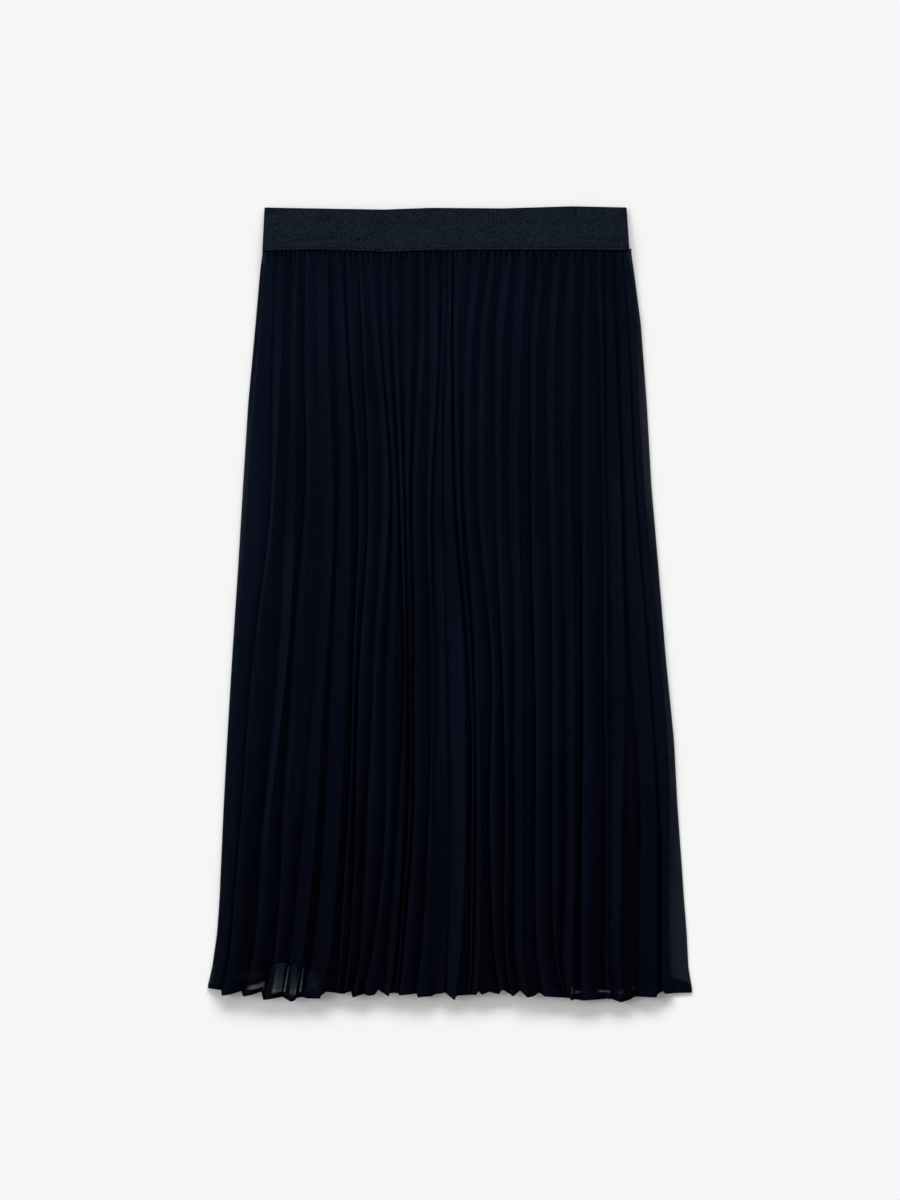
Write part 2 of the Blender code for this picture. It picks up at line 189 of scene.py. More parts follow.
SECTIONS = (
    Section(350.0, -187.5, 181.3, -181.0, 174.8),
    Section(334.0, -189.7, 183.7, -183.2, 177.2),
    Section(280.0, -194.4, 190.8, -187.9, 184.0),
    Section(200.0, -201.8, 196.8, -195.0, 187.8),
    Section(118.0, -207.0, 201.4, -200.5, 192.8),
    Section(41.0, -211.6, 208.0, -205.1, 200.0),
    Section(-56.0, -218.0, 216.0, -211.5, 209.5),
    Section(-136.0, -222.8, 224.0, -216.3, 216.5),
    Section(-200.0, -226.2, 227.3, -219.7, 218.5),
    Section(-266.0, -229.2, 232.0, -222.7, 218.0),
    Section(-296.0, -230.5, 234.0, -224.0, 217.5),
    Section(-328.0, -232.8, 236.6, -226.3, 218.0),
    Section(-362.0, -237.5, 238.3, -231.0, 218.5),
    Section(-383.0, -242.0, 242.0, -235.5, 222.0),
    Section(-398.0, -242.3, 242.3, -235.8, 222.3),
)
LEVELS = (342.0, 254.0, 104.0, -56.0, -216.0, -346.0)
FACE_LEVELS = (300.0, -56.0, -336.0)
FOLDS = (
    Fold(-166.0, -168.5, -176.5, -195.5, -209.5, -219.5, -227.5, -0.5, 4.4, 8.0, 2.0, 1.5, 1.0, 0.8),
    Fold(-152.0, -154.0, -154.0, -163.0, -180.5, -196.0, -206.0, -1.4, 5.8, 6.0, 11.0, 1.5, 1.0, 1.0),
    Fold(-144.5, -144.0, -141.5, -150.0, -164.0, -175.0, -185.5, 2.4, 9.4, 1.5, 8.0, 1.5, 0.7, 0.8),
    Fold(-122.0, -122.0, -116.5, -124.0, -134.0, -146.0, -156.0, 11.3, 6.0, 12.0, 11.0, 13.0, 1.0, 1.0),
    Fold(-109.0, -104.0, -99.0, -103.5, -109.5, -120.0, -130.0, 9.0, 1.4, 10.0, 15.0, 18.0, 0.9, 1.0),
    Fold(-100.0, -97.0, -90.0, -96.5, -102.0, -109.5, -114.0, 3.0, 3.6, 5.0, 2.0, 2.0, 0.6, 0.45),
    Fold(-90.5, -87.5, -81.5, -90.5, -95.0, -101.0, -106.0, 2.0, 4.0, 1.5, 1.5, 1.5, 0.9, 0.8),
    Fold(-78.0, -70.5, -61.5, -72.0, -80.5, -90.0, -97.5, 2.0, 7.0, 7.0, 6.0, 1.5, 1.0, 1.0),
    Fold(-66.0, -62.0, -53.5, -56.0, -63.0, -77.0, -86.0, 4.5, -1.0, 5.0, 7.0, 1.5, 0.9, 0.6),
    Fold(-54.0, -53.5, -48.0, -46.5, -47.0, -56.0, -60.5, 6.6, 2.0, 5.0, 2.0, 7.0, 0.9, 1.0),
    Fold(-39.0, -38.5, -42.0, -41.0, -42.0, -51.0, -55.5, 4.0, 3.0, 8.0, 2.0, 2.0, 0.9, 0.3),
    Fold(-26.0, -27.0, -35.0, -35.5, -36.5, -46.0, -50.0, 4.0, 4.0, 6.0, 1.5, 1.5, 1.0, 0.9),
    Fold(-12.5, -12.5, -20.0, -19.0, -21.0, -29.0, -33.5, 4.0, 8.0, 8.0, 1.5, 1.5, 1.0, 1.0),
    Fold(-6.5, -6.5, -9.0, -5.5, -4.5, -5.5, -6.5, 2.0, 4.0, 3.0, 13.0, 10.0, 0.3, 0.6),
    Fold(-0.5, -0.5, 2.0, 13.0, 15.0, 9.5, 5.0, 9.3, 2.8, 3.0, 16.0, 12.0, 1.0, 1.0),
    Fold(8.0, 7.0, 8.5, 19.5, 22.0, 20.0, 17.0, 3.5, 3.5, 5.0, 3.0, 2.0, 0.8, 0.35),
    Fold(29.0, 21.0, 18.5, 27.5, 29.5, 29.5, 27.5, 4.0, -0.6, 7.0, 4.0, 13.0, 1.0, 0.9),
    Fold(44.0, 34.0, 33.0, 42.5, 41.5, 43.0, 49.0, 4.0, -1.0, 6.0, 4.0, 2.0, 1.0, 0.9),
    Fold(60.0, 52.0, 49.0, 54.0, 54.5, 55.5, 61.0, 5.7, -0.6, 8.0, 3.0, 2.0, 1.0, 0.8),
    Fold(76.0, 70.0, 68.0, 71.0, 72.0, 71.0, 77.5, 7.0, 1.0, 10.0, 8.0, 8.0, 1.0, 1.0),
    Fold(93.0, 85.5, 82.0, 84.5, 85.0, 86.0, 93.5, 5.4, 5.0, 6.0, 1.5, 1.5, 1.0, 0.9),
    Fold(109.5, 103.5, 103.5, 103.0, 102.5, 104.0, 113.5, 6.5, 7.0, 8.0, 3.0, 1.5, 1.0, 0.9),
    Fold(125.0, 120.0, 120.5, 123.5, 124.0, 121.0, 121.6, 9.7, 7.6, 8.0, 9.0, 9.0, 0.9, 1.0),
    Fold(139.0, 136.5, 133.5, 132.0, 131.5, 130.0, 130.5, 7.3, 7.0, 6.0, 1.5, 1.5, 0.8, 0.9),
    Fold(149.0, 151.0, 152.0, 154.0, 155.0, 155.0, 158.0, 7.0, 7.0, 4.0, 1.5, 1.5, 0.9, 0.9),
    Fold(162.0, 164.0, 170.0, 173.5, 171.0, 168.5, 172.0, 11.3, 5.7, 8.0, 14.0, 12.0, 0.9, 0.8),
    Fold(171.0, 178.0, 184.0, 197.0, 205.0, 206.0, 206.0, 7.0, 1.0, 8.0, 17.0, 18.0, 0.8, 0.8),
)
RISES = (
    Rise(355.0, 0.0),
    Rise(350.0, 0.5),
    Rise(345.0, 1.3),
    Rise(336.0, 2.2),
    Rise(290.0, 3.2),
    Rise(160.0, 3.8),
    Rise(10.0, 4.4),
    Rise(-140.0, 4.9),
    Rise(-335.0, 4.9),
    Rise(-398.0, 4.2),
)
BAND_EDGES = (
    BandEdge(0.00, 396.1, 352.0),
    BandEdge(0.05, 395.7, 352.6),
    BandEdge(0.16, 395.0, 353.4),
    BandEdge(0.33, 394.0, 350.9),
    BandEdge(0.46, 395.7, 352.6),
    BandEdge(0.66, 395.2, 353.0),
    BandEdge(0.85, 397.3, 353.0),
    BandEdge(1.00, 396.1, 352.6),
)
SHADES = (
    Shade(350.0, 0.78, 0.46),
    Shade(300.0, 0.83, 0.44),
    Shade(154.0, 0.71, 0.34),
    Shade(44.0, 0.67, 0.29),
    Shade(-56.0, 0.62, 0.20),
    Shade(-196.0, 0.55, 0.08),
    Shade(-296.0, 0.50, 0.0),
    Shade(-398.0, 0.47, 0.0),
)
GLEAMS = (
    Gleam(0, 260.0, -20.0, 0.55),
    Gleam(1, 60.0, -250.0, 0.4),
    Gleam(3, 330.0, 220.0, 0.2),
    Gleam(7, 150.0, 20.0, 0.15),
    Gleam(12, 300.0, 100.0, 0.1),
    Gleam(13, 60.0, -200.0, 0.3),
    Gleam(14, 0.0, -380.0, 0.3),
    Gleam(18, 340.0, 240.0, 0.2),
    Gleam(25, 150.0, -340.0, 0.3),
    Gleam(26, 250.0, -340.0, 0.25),
)
VALLEY_SHADES = (
    ValleyShade(1, 60.0, -120.0, -0.25),
    ValleyShade(2, 330.0, 60.0, 0.4),
    ValleyShade(3, 340.0, -200.0, -0.6),
    ValleyShade(5, 340.0, -300.0, 0.45),
    ValleyShade(6, 320.0, -340.0, 0.5),
    ValleyShade(8, 240.0, 60.0, 0.5),
    ValleyShade(9, 240.0, -140.0, 0.6),
    ValleyShade(10, 190.0, -340.0, 0.45),
    ValleyShade(11, 200.0, -60.0, 0.35),
    ValleyShade(13, 340.0, 250.0, 0.3),
    ValleyShade(13, 0.0, -380.0, -1.0),
    ValleyShade(14, 60.0, -380.0, -0.7),
    ValleyShade(15, 340.0, -340.0, 0.5),
    ValleyShade(16, 200.0, -340.0, 0.5),
    ValleyShade(17, 0.0, -380.0, 0.4),
    ValleyShade(18, 0.0, -340.0, 0.35),
    ValleyShade(20, 340.0, -340.0, 0.3),
    ValleyShade(23, 60.0, -380.0, 0.5),
    ValleyShade(25, 250.0, -380.0, -0.7),
)
HEM_POINTS = (
    HemPoint(-242.3, -2.0),
    HemPoint(-228.2, -0.9),
    HemPoint(-227.9, 4.8),
    HemPoint(-218.0, 3.2),
    HemPoint(-207.2, -0.2),
    HemPoint(-206.9, 5.5),
    HemPoint(-198.0, 3.8),
    HemPoint(-187.8, 0.6),
    HemPoint(-187.5, 9.3),
    HemPoint(-167.0, 6.1),
    HemPoint(-163.5, 8.0),
    HemPoint(-159.1, 10.5),
    HemPoint(-155.5, 9.8),
    HemPoint(-152.3, 6.6),
    HemPoint(-147.0, 6.3),
    HemPoint(-142.0, 7.6),
    HemPoint(-129.5, 7.3),
    HemPoint(-128.4, 4.3),
    HemPoint(-123.4, 0.5),
    HemPoint(-106.0, 3.2),
    HemPoint(-103.4, 1.6),
    HemPoint(-98.2, 0.5),
    HemPoint(-97.9, 6.6),
    HemPoint(-86.4, 3.2),
    HemPoint(-79.5, 5.0),
    HemPoint(-74.0, 3.2),
    HemPoint(-71.6, -1.4),
    HemPoint(-70.5, -0.2),
    HemPoint(-61.4, 5.5),
    HemPoint(-60.2, 2.0),
    HemPoint(-51.6, 2.2),
    HemPoint(-51.1, 4.3),
    HemPoint(-33.0, 2.7),
    HemPoint(-32.3, 6.6),
    HemPoint(-30.0, 5.8),
    HemPoint(-17.5, 5.3),
    HemPoint(-16.0, 3.9),
    HemPoint(-5.0, 1.7),
    HemPoint(4.5, 9.4),
    HemPoint(6.5, 4.4),
    HemPoint(27.0, 3.9),
    HemPoint(27.5, -1.0),
    HemPoint(32.5, 4.4),
    HemPoint(38.0, 0.3),
    HemPoint(49.0, 3.6),
    HemPoint(50.5, -0.3),
    HemPoint(53.3, -1.1),
    HemPoint(63.0, 5.3),
    HemPoint(70.0, -0.3),
    HemPoint(77.0, 6.4),
    HemPoint(84.0, 5.0),
    HemPoint(89.4, 1.1),
    HemPoint(93.6, 5.3),
    HemPoint(120.0, 7.2),
    HemPoint(120.8, 9.4),
    HemPoint(124.0, 8.0),
    HemPoint(131.7, 9.4),
    HemPoint(160.3, 7.8),
    HemPoint(170.0, 11.3),
    HemPoint(179.7, 8.6),
    HemPoint(183.9, 5.8),
    HemPoint(206.0, 6.4),
    HemPoint(207.0, 3.0),
    HemPoint(213.0, 0.3),
    HemPoint(213.6, 3.0),
    HemPoint(242.3, 2.5),
)
FINE_FOLDS = (
    FineFold(2, 6, 2, 2),
    FineFold(3, 6, 4, 14),
    FineFold(4, 6, 3, 6),
    FineFold(25, 4, 2, 5),
)
THIN_PATCHES = (
    ThinPatch(-173.5, -168.0, -356.0, -391.0, -5.0, 0.0, 1.6, 0.3),
    ThinPatch(-169.2, -163.4, -357.0, -391.0, -5.0, 0.0, 1.5, 1.1),
    ThinPatch(-161.9, -159.8, -361.0, -387.5, -4.7, 0.0, 0.4, 0.0),
    ThinPatch(-157.8, -151.4, -358.0, -390.0, -2.8, 0.0, 2.9, 1.5),
    ThinPatch(-150.8, -149.3, -366.0, -388.0, -4.5, 0.0, 1.4, 0.3),
    ThinPatch(-147.3, -144.8, -362.0, -388.5, -3.5, 0.0, 0.8, 0.0),
    ThinPatch(-143.0, -131.0, -366.0, -384.0, 0.0, 0.0, 3.2, 2.3),
    ThinPatch(-202.0, -184.4, -380.8, -385.0, -1.0, 5.2, 0.4, 0.4),
    ThinPatch(-217.0, -186.0, -364.0, -374.0, -3.0, 0.0, 3.2, 3.0),
    ThinPatch(-241.0, -235.0, -366.0, -379.0, -3.0, 0.0, 3.2, 2.4),
    ThinPatch(120.8, 122.6, -381.0, -389.5, 0.0, 0.0, 0.5, 0.2),
    ThinPatch(124.0, 130.5, -385.6, -388.2, 0.0, 0.0, 0.0, 0.0),
    ThinPatch(147.0, 160.0, -384.6, -387.8, 0.0, 0.0, 0.0, 0.0),
    ThinPatch(166.5, 173.5, -384.0, -389.6, 0.0, 0.0, 2.4, 1.7),
    ThinPatch(181.0, 183.4, -381.6, -384.0, 0.0, 0.0, 0.4, 0.4),
)
SHEER_STRIPS = (
    SheerStrip(350.0, 2.6, 2.4),
    SheerStrip(300.0, 1.7, 1.8),
    SheerStrip(200.0, 1.45, 1.0),
    SheerStrip(118.0, 1.4, 1.05),
    SheerStrip(41.0, 1.7, 1.7),
    SheerStrip(-56.0, 2.3, 1.5),
    SheerStrip(-136.0, 3.0, 1.25),
    SheerStrip(-200.0, 3.0, 1.45),
    SheerStrip(-398.0, 3.0, 1.4),
)
WRINKLES = (
    Wrinkle(-124.0, 384.0, 9.0, 2.2, 0.35),
    Wrinkle(-129.0, 364.5, 14.0, 1.8, 0.40),
    Wrinkle(-50.0, 381.5, 6.0, 2.0, 0.35),
    Wrinkle(-42.0, 356.5, 10.0, 1.6, 0.30),
    Wrinkle(-176.0, 390.0, 7.0, 2.0, 0.35),
    Wrinkle(-176.0, 358.5, 6.0, 2.4, 0.30),
    Wrinkle(62.0, 386.0, 22.0, 1.2, 0.20),
    Wrinkle(138.0, 364.0, 16.0, 1.8, 0.40),
    Wrinkle(168.0, 363.0, 9.0, 2.4, 0.45),
    Wrinkle(172.0, 389.0, 5.0, 3.6, 0.40),
    Wrinkle(138.0, 379.0, 15.0, 1.4, 0.20),
    Wrinkle(10.0, 372.0, 20.0, 1.4, 0.18),
)

HEM_LINE = -386.0          # the front's mean hem line
BACK_HEM_LINE = -381.5     # the back's hem, hidden behind the front's
BACK_HEM_SHARE = 0.35      # how much of the folds' drops the back's hem takes
HEM_START = -335.0         # below this the cloth is drawn down to the hem's corners
HEM_WIDTH = 4.6            # the turned hem's dense edge
HEM_LAYERS = 9.0           # layers of chiffon in the hem, where the folds lie on each other
TOP_LINE = 355.0           # the panels' upper edge, inside the band
SOLID = 6.0                # layers in the folds, through which no light comes
SINGLE = 1.15              # layers of the back's chiffon beside its folds
WIDEST_FACE = 0.8          # most of a pitch that a fold's rising face takes
SHOULDER_SHARE = 0.55      # how far along the slope after a fold its shoulder lies
PRESSED_SHOULDER = 0.7     # how high the shoulder of a pressed fold stands, as a share
CORNER_DROP = (-1.4, 2.8)  # the drop of the back hem's left and right corners
COMMON_FOLD = FineFold(-1, 3, 2, 2)
MIN_PITCH = 4.4            # closest that two folds' edges lie
BAND_HEIGHT = 44.0         # height of the elastic
BAND_SIDES_TOP = (-185.4, 176.5)
BAND_SIDES_BOTTOM = (-187.5, 179.3)
CHIFFON = 0.35             # thickness of the pleated cloth
LINING = 0.4               # thickness of the lining


def blend(start: float, end: float, share: float) -> float:
    """Return the value that lies the given share of the way from start to end."""
    return start + (end - start) * share


def clamp(value: float, low: float = 0.0, high: float = 1.0) -> float:
    """Return value, kept between low and high."""
    return max(low, min(high, value))


def ease(value: float) -> float:
    """Return value, clamped to 0..1 and eased at both ends."""
    value = clamp(value)
    return value * value * (3.0 - 2.0 * value)


def read_table(rows: Sequence[NamedTuple], key: str, column: str, at: float) -> float:
    """Read a column of a table between its rows, in straight lines.

    Args:
        rows: the table, with its key rising or falling.
        key: the column that gives each row's place.
        column: the column to read.
        at: the place to read it at.

    Returns:
        The value there, or the end value beyond the table.
    """
    places = [getattr(row, key) for row in rows]
    values = [getattr(row, column) for row in rows]
    if places[0] > places[-1]:
        places.reverse()
        values.reverse()
    return float(np.interp(at, places, values))


def smooth_through(places: Sequence[float], values: Sequence[float], at: float) -> float:
    """Read a smooth curve that runs through values at falling places.

    Args:
        places: the curve's known places, falling.
        values: its values there.
        at: the place to read.

    Returns:
        The curve's value there, or the end value beyond it.
    """
    if at >= places[0]:
        return values[0]
    if at <= places[-1]:
        return values[-1]
    i = next(k for k in range(1, len(places)) if at >= places[k])

    def slope(k: int) -> float:
        """Return the curve's slope at known place k."""
        before = max(k - 1, 0)
        after = min(k + 1, len(places) - 1)
        return (values[after] - values[before]) / (places[after] - places[before])

    step = places[i] - places[i - 1]
    t = (at - places[i - 1]) / step
    start = (2 * t ** 3 - 3 * t ** 2 + 1) * values[i - 1]
    end = (3 * t ** 2 - 2 * t ** 3) * values[i]
    start_slope = (t ** 3 - 2 * t ** 2 + t) * step * slope(i - 1)
    end_slope = (t ** 3 - t ** 2) * step * slope(i)
    return start + end + start_slope + end_slope


class Side(Enum):
    """The two faces of the skirt."""

    FRONT = "front"
    BACK = "back"


@dataclass
class Controls:
    """The corner points of one section, with what each carries to the mesh."""

    x: list
    z: list
    painted_shading: list
    layers: list
    drop: list
    steps: list

    @classmethod
    def empty(cls) -> "Controls":
        """Return a section with no points yet."""
        return cls([], [], [], [], [], [])

    def add(self, x: float, z: float, painted_shading: float, layers: float, steps: int,
            drop: float = 0.0) -> None:
        """Add a corner point.

        Args:
            x: its place across.
            z: its height.
            painted_shading: the painted light and shade there, 0 down in a valley, 1 on the lightest
                faces.
            layers: how many layers of cloth lie there.
            steps: how many steps the mesh takes to it from the last point.
            drop: the drop of the back's hem there.
        """
        self.x.append(x)
        self.z.append(z)
        self.painted_shading.append(painted_shading)
        self.layers.append(layers)
        self.drop.append(drop)
        self.steps.append(steps)

    def sample(self) -> np.ndarray:
        """Sample the section finely and round its corners a little.

        Returns:
            A row for each mesh point, with its x, z, crest, layers and drop.
        """
        places = np.concatenate([[0], np.cumsum(self.steps[1:])])
        at = np.arange(places[-1] + 1)
        columns = [np.interp(at, places, values)
                   for values in (self.x, self.z, self.painted_shading, self.layers, self.drop)]
        fine = np.stack(columns, axis=1)
        rounded = fine.copy()
        rounded[1:-1] = 0.25 * fine[:-2] + 0.5 * fine[1:-1] + 0.25 * fine[2:]
        rounded[:, 2] = fine[:, 2]
        return rounded


class PleatPlan:
    """Where the skirt's sides and folds run, read from the tables above."""

    def sides(self, y: float) -> tuple:
        """Return the skirt's left and right side and its lining's, at a height."""
        names = ("left", "right", "lining_left", "lining_right")
        return tuple(read_table(SECTIONS, "y", name, y) for name in names)

    def edges(self, y: float) -> list:
        """Return where the folds' edges run, kept a little apart.

        Args:
            y: the height.

        Returns:
            The edges' places across, from left to right.
        """
        places = LEVELS + (HEM_LINE,)
        found = []
        for fold in FOLDS:
            values = fold[:len(LEVELS)] + (fold.hem,)
            found.append(smooth_through(places, values, y))
        for i in range(1, len(found)):
            found[i] = max(found[i], found[i - 1] + MIN_PITCH)
        return found

    def face(self, fold: Fold, y: float) -> float:
        """Return how wide a fold's rising face is at a height."""
        widths = (fold.hem_face, fold.knee_face, fold.hip_face)
        return float(np.interp(y, FACE_LEVELS[::-1], widths))

    def pressed(self, y: float) -> float:
        """Return how far the folds are pressed: 0 at the hip, 1 below the thigh."""
        return clamp((250.0 - y) / 270.0)

    def rise(self, y: float) -> float:
        """Return how high the front's folds stand at a height."""
        return read_table(RISES, "y", "height", y)

    def after_tone(self, index: int, edges: Sequence[float], y: float) -> float:
        """Return how light the cloth is just right of a fold's edge.

        It is light where the slope is wide and its own face narrow, so that
        the edge looks sharp from the left.

        Args:
            index: the fold's number.
            edges: where all the folds' edges run.
            y: the height.

        Returns:
            The tone, from 0 to 1.
        """
        if index + 1 >= len(edges):
            return 0.2
        pitch = edges[index + 1] - edges[index]
        gap = pitch - min(self.face(FOLDS[index + 1], y), WIDEST_FACE * pitch)
        own = self.face(FOLDS[index], y)
        open_slope = clamp((gap - 4.0) / 8.0) * clamp((9.0 - own) / 6.0)
        return blend(0.15, 0.90, max(open_slope, -self.groove(index + 1, y)))

    def gleam(self, index: int, y: float) -> float:
        """Return how much lighter than the others a fold's face is at a height."""
        return sum(row.extra * self.within(row, y) for row in GLEAMS if row.fold == index)

    def groove(self, index: int, y: float) -> float:
        """Return how much deeper than the others a fold's valley is painted in shade at a height."""
        return sum(row.darker * self.within(row, y) for row in VALLEY_SHADES if row.fold == index)

    def within(self, row: NamedTuple, y: float) -> float:
        """Return 1 between a row's top and bottom, eased to 0 past them."""
        return ease((row.top + 30.0 - y) / 60.0) * ease((y - row.bottom + 30.0) / 60.0)

    def past_lining(self, y: float) -> float:
        """Return 0 above the lining's hem, eased to 1 below it."""
        return ease((-345.0 - y) / 40.0)

    def band_edge(self, across: np.ndarray, column: str) -> np.ndarray:
        """Return the height of the waistband's wavy edge at shares of its width.

        Args:
            across: 0 at the band's left end, 1 at its right end.
            column: top or bottom.

        Returns:
            The edge's heights.
        """
        return np.interp(across, [row.across for row in BAND_EDGES],
                         [getattr(row, column) for row in BAND_EDGES])

    def band_bottom(self, x: np.ndarray) -> np.ndarray:
        """Return the height of the waistband's lower edge at places across."""
        left, right = BAND_SIDES_BOTTOM
        return self.band_edge(np.clip((x - left) / (right - left), 0.0, 1.0), "bottom")


PLAN = PleatPlan()


def new_object(name: str, vertices: Sequence, faces: Sequence) -> bpy.types.Object:
    """Make a mesh object from vertices in millimetres.

    Args:
        name: the object's name.
        vertices: its points, in millimetres.
        faces: its faces, as vertex numbers.

    Returns:
        The object, linked to the scene.
    """
    mesh = bpy.data.meshes.new(name)
    points = np.asarray(vertices, dtype=float) * MM
    mesh.from_pydata(points.tolist(), [], faces)
    mesh.shade_smooth()
    made = bpy.data.objects.new(name, mesh)
    bpy.context.scene.collection.objects.link(made)
    return made


def grid_faces(rows: int, columns: int, upwards: bool, closed: bool = False) -> list:
    """Return the faces of a grid of points.

    Args:
        rows: how many rows it has, from top to bottom.
        columns: how many points a row has, from left to right.
        upwards: whether the faces point up or down.
        closed: whether the last column joins the first.

    Returns:
        A list of four-sided faces.
    """
    faces = []
    last = columns if closed else columns - 1
    for i in range(rows - 1):
        for j in range(last):
            beside = (j + 1) % columns
            face = (i * columns + j, (i + 1) * columns + j,
                    (i + 1) * columns + beside, i * columns + beside)
            faces.append(face if upwards else face[::-1])
    return faces


def set_attribute(mesh: bpy.types.Mesh, name: str, values: np.ndarray) -> None:
    """Store one number for each vertex under a name."""
    layer = mesh.attributes.new(name, "FLOAT", "POINT")
    layer.data.foreach_set("value", values.astype(np.float32).ravel())


def set_cloth_map(mesh: bpy.types.Mesh, across: np.ndarray, along: np.ndarray) -> None:
    """Store the flat cloth's own coordinates, in metres, as the UV map.

    Args:
        mesh: the cloth's mesh.
        across: each vertex's place across the flat cloth, in millimetres.
        along: its place along the cloth.
    """
    layer = mesh.uv_layers.new(name="cloth")
    corner = np.zeros(len(mesh.loops), dtype=np.int32)
    mesh.loops.foreach_get("vertex_index", corner)
    flat = np.stack([across.ravel()[corner], along.ravel()[corner]], axis=1) * MM
    layer.data.foreach_set("uv", flat.astype(np.float32).ravel())


def thicken(piece: bpy.types.Object, thickness: float) -> None:
    """Give a sheet its thickness behind its outer face.

    Args:
        piece: the sheet.
        thickness: its thickness, in millimetres.
    """
    wall = piece.modifiers.new("cloth_thickness", "SOLIDIFY")
    wall.thickness = thickness * MM
    wall.offset = -1.0
    wall.use_rim = True


class Value:
    """A number that varies over a surface, for writing shader maths as expressions."""

    def __init__(self, board: "Board", socket: bpy.types.NodeSocket) -> None:
        """Wrap an output socket of a board's node."""
        self.board = board
        self.socket = socket

    def _math(self, operation: str, first: object, second: object = None) -> "Value":
        """Return the result of a Math node on one or two values or numbers."""
        inputs = {0: first} if second is None else {0: first, 1: second}
        return self.board.node("ShaderNodeMath", {"operation": operation}, inputs)

    def __add__(self, other: object) -> "Value":
        """Return self + other."""
        return self._math("ADD", self, other)

    __radd__ = __add__

    def __sub__(self, other: object) -> "Value":
        """Return self - other."""
        return self._math("SUBTRACT", self, other)

    def __rsub__(self, other: object) -> "Value":
        """Return other - self."""
        return self._math("SUBTRACT", other, self)

    def __mul__(self, other: object) -> "Value":
        """Return self * other."""
        return self._math("MULTIPLY", self, other)

    __rmul__ = __mul__

    def __truediv__(self, other: object) -> "Value":
        """Return self / other."""
        return self._math("DIVIDE", self, other)

    def __rpow__(self, other: float) -> "Value":
        """Return other ** self."""
        return self._math("POWER", other, self)

    def sine(self) -> "Value":
        """Return the sine of self."""
        return self._math("SINE", self)

    def floored(self) -> "Value":
        """Return self, kept above 0."""
        return self._math("MAXIMUM", self, 0.0)

    def clamped(self) -> "Value":
        """Return self, kept between 0 and 1."""
        return self._math("MINIMUM", self._math("MAXIMUM", self, 0.0), 1.0)


class Board:
    """One material's node tree, with short ways to add nodes to it."""

    def __init__(self, name: str) -> None:
        """Make a material with a Principled shader."""
        self.material = bpy.data.materials.new(name)
        self.material.use_nodes = True
        self.tree = self.material.node_tree
        self.shader = self.tree.nodes["Principled BSDF"]

    def node(self, kind: str, settings: dict, inputs: dict, output: object = 0) -> Value:
        """Add a node.

        Args:
            kind: the node's type.
            settings: its properties, which are set first.
            inputs: the values or links of its sockets, by name or number.
            output: the output to return, by name or number.

        Returns:
            The output, wrapped.
        """
        made = self.tree.nodes.new(kind)
        for name, value in settings.items():
            setattr(made, name, value)
        for name, value in inputs.items():
            self.feed(made.inputs[name], value)
        return Value(self, made.outputs[output])

    def feed(self, socket: bpy.types.NodeSocket, value: object) -> None:
        """Link a wrapped value to a socket, or set the socket's own value.

        Args:
            socket: the input socket.
            value: a wrapped value, or a plain one.
        """
        if isinstance(value, Value):
            self.tree.links.new(value.socket, socket)
        else:
            socket.default_value = value

    def attribute(self, name: str) -> Value:
        """Return a number stored on the mesh."""
        return self.node("ShaderNodeAttribute", {"attribute_name": name}, {}, "Fac")

    def position(self) -> Value:
        """Return the object's own coordinates, in metres."""
        return self.node("ShaderNodeTexCoord", {}, {}, "Object")

    def cloth_axes(self) -> tuple:
        """Read the cloth's own map.

        Returns:
            The flat cloth's two coordinates, across and along, in metres.
        """
        flat = self.node("ShaderNodeUVMap", {"uv_map": "cloth"}, {}, "UV")
        split = self.node("ShaderNodeSeparateXYZ", {}, {0: flat}, "X")
        along = Value(self, split.socket.node.outputs["Y"])
        return split, along

    def noise(self, where: Value, scale: float, detail: float = 2.0,
              roughness: float = 0.5) -> Value:
        """Return noise of a scale, in cells for each metre, about 0.5."""
        inputs = {"Vector": where, "Scale": scale, "Detail": detail, "Roughness": roughness}
        return self.node("ShaderNodeTexNoise", {}, inputs, "Fac")

    def stretched(self, where: Value, scale: tuple) -> Value:
        """Return coordinates stretched along the axes."""
        return self.node("ShaderNodeMapping", {}, {"Vector": where, "Scale": scale}, "Vector")

    def mix(self, share: object, first: object, second: object) -> Value:
        """Mix two colours.

        Args:
            share: how far from the first colour to the second, or past it over 1.
            first: a colour, or a wrapped one.
            second: a colour, or a wrapped one.

        Returns:
            The colour, wrapped.
        """
        settings = {"data_type": "RGBA", "clamp_factor": False}
        made = self.node("ShaderNodeMix", settings, {0: share}, 2)
        mixer = made.socket.node
        for socket, colour in ((mixer.inputs[6], first), (mixer.inputs[7], second)):
            self.feed(socket, colour if isinstance(colour, Value) else (*colour, 1.0))
        return made

    def bump(self, height: Value, strength: float, distance: float) -> Value:
        """Return the normal that a height in units of distance gives."""
        inputs = {"Height": height, "Strength": strength, "Distance": distance}
        return self.node("ShaderNodeBump", {}, inputs, "Normal")

    def finish(self, **inputs: object) -> bpy.types.Material:
        """Set the shader's sockets.

        Args:
            inputs: the values or links, by socket name with underscores.

        Returns:
            The finished material.
        """
        for name, value in inputs.items():
            self.feed(self.shader.inputs[name.replace("_", " ")], value)
        return self.material


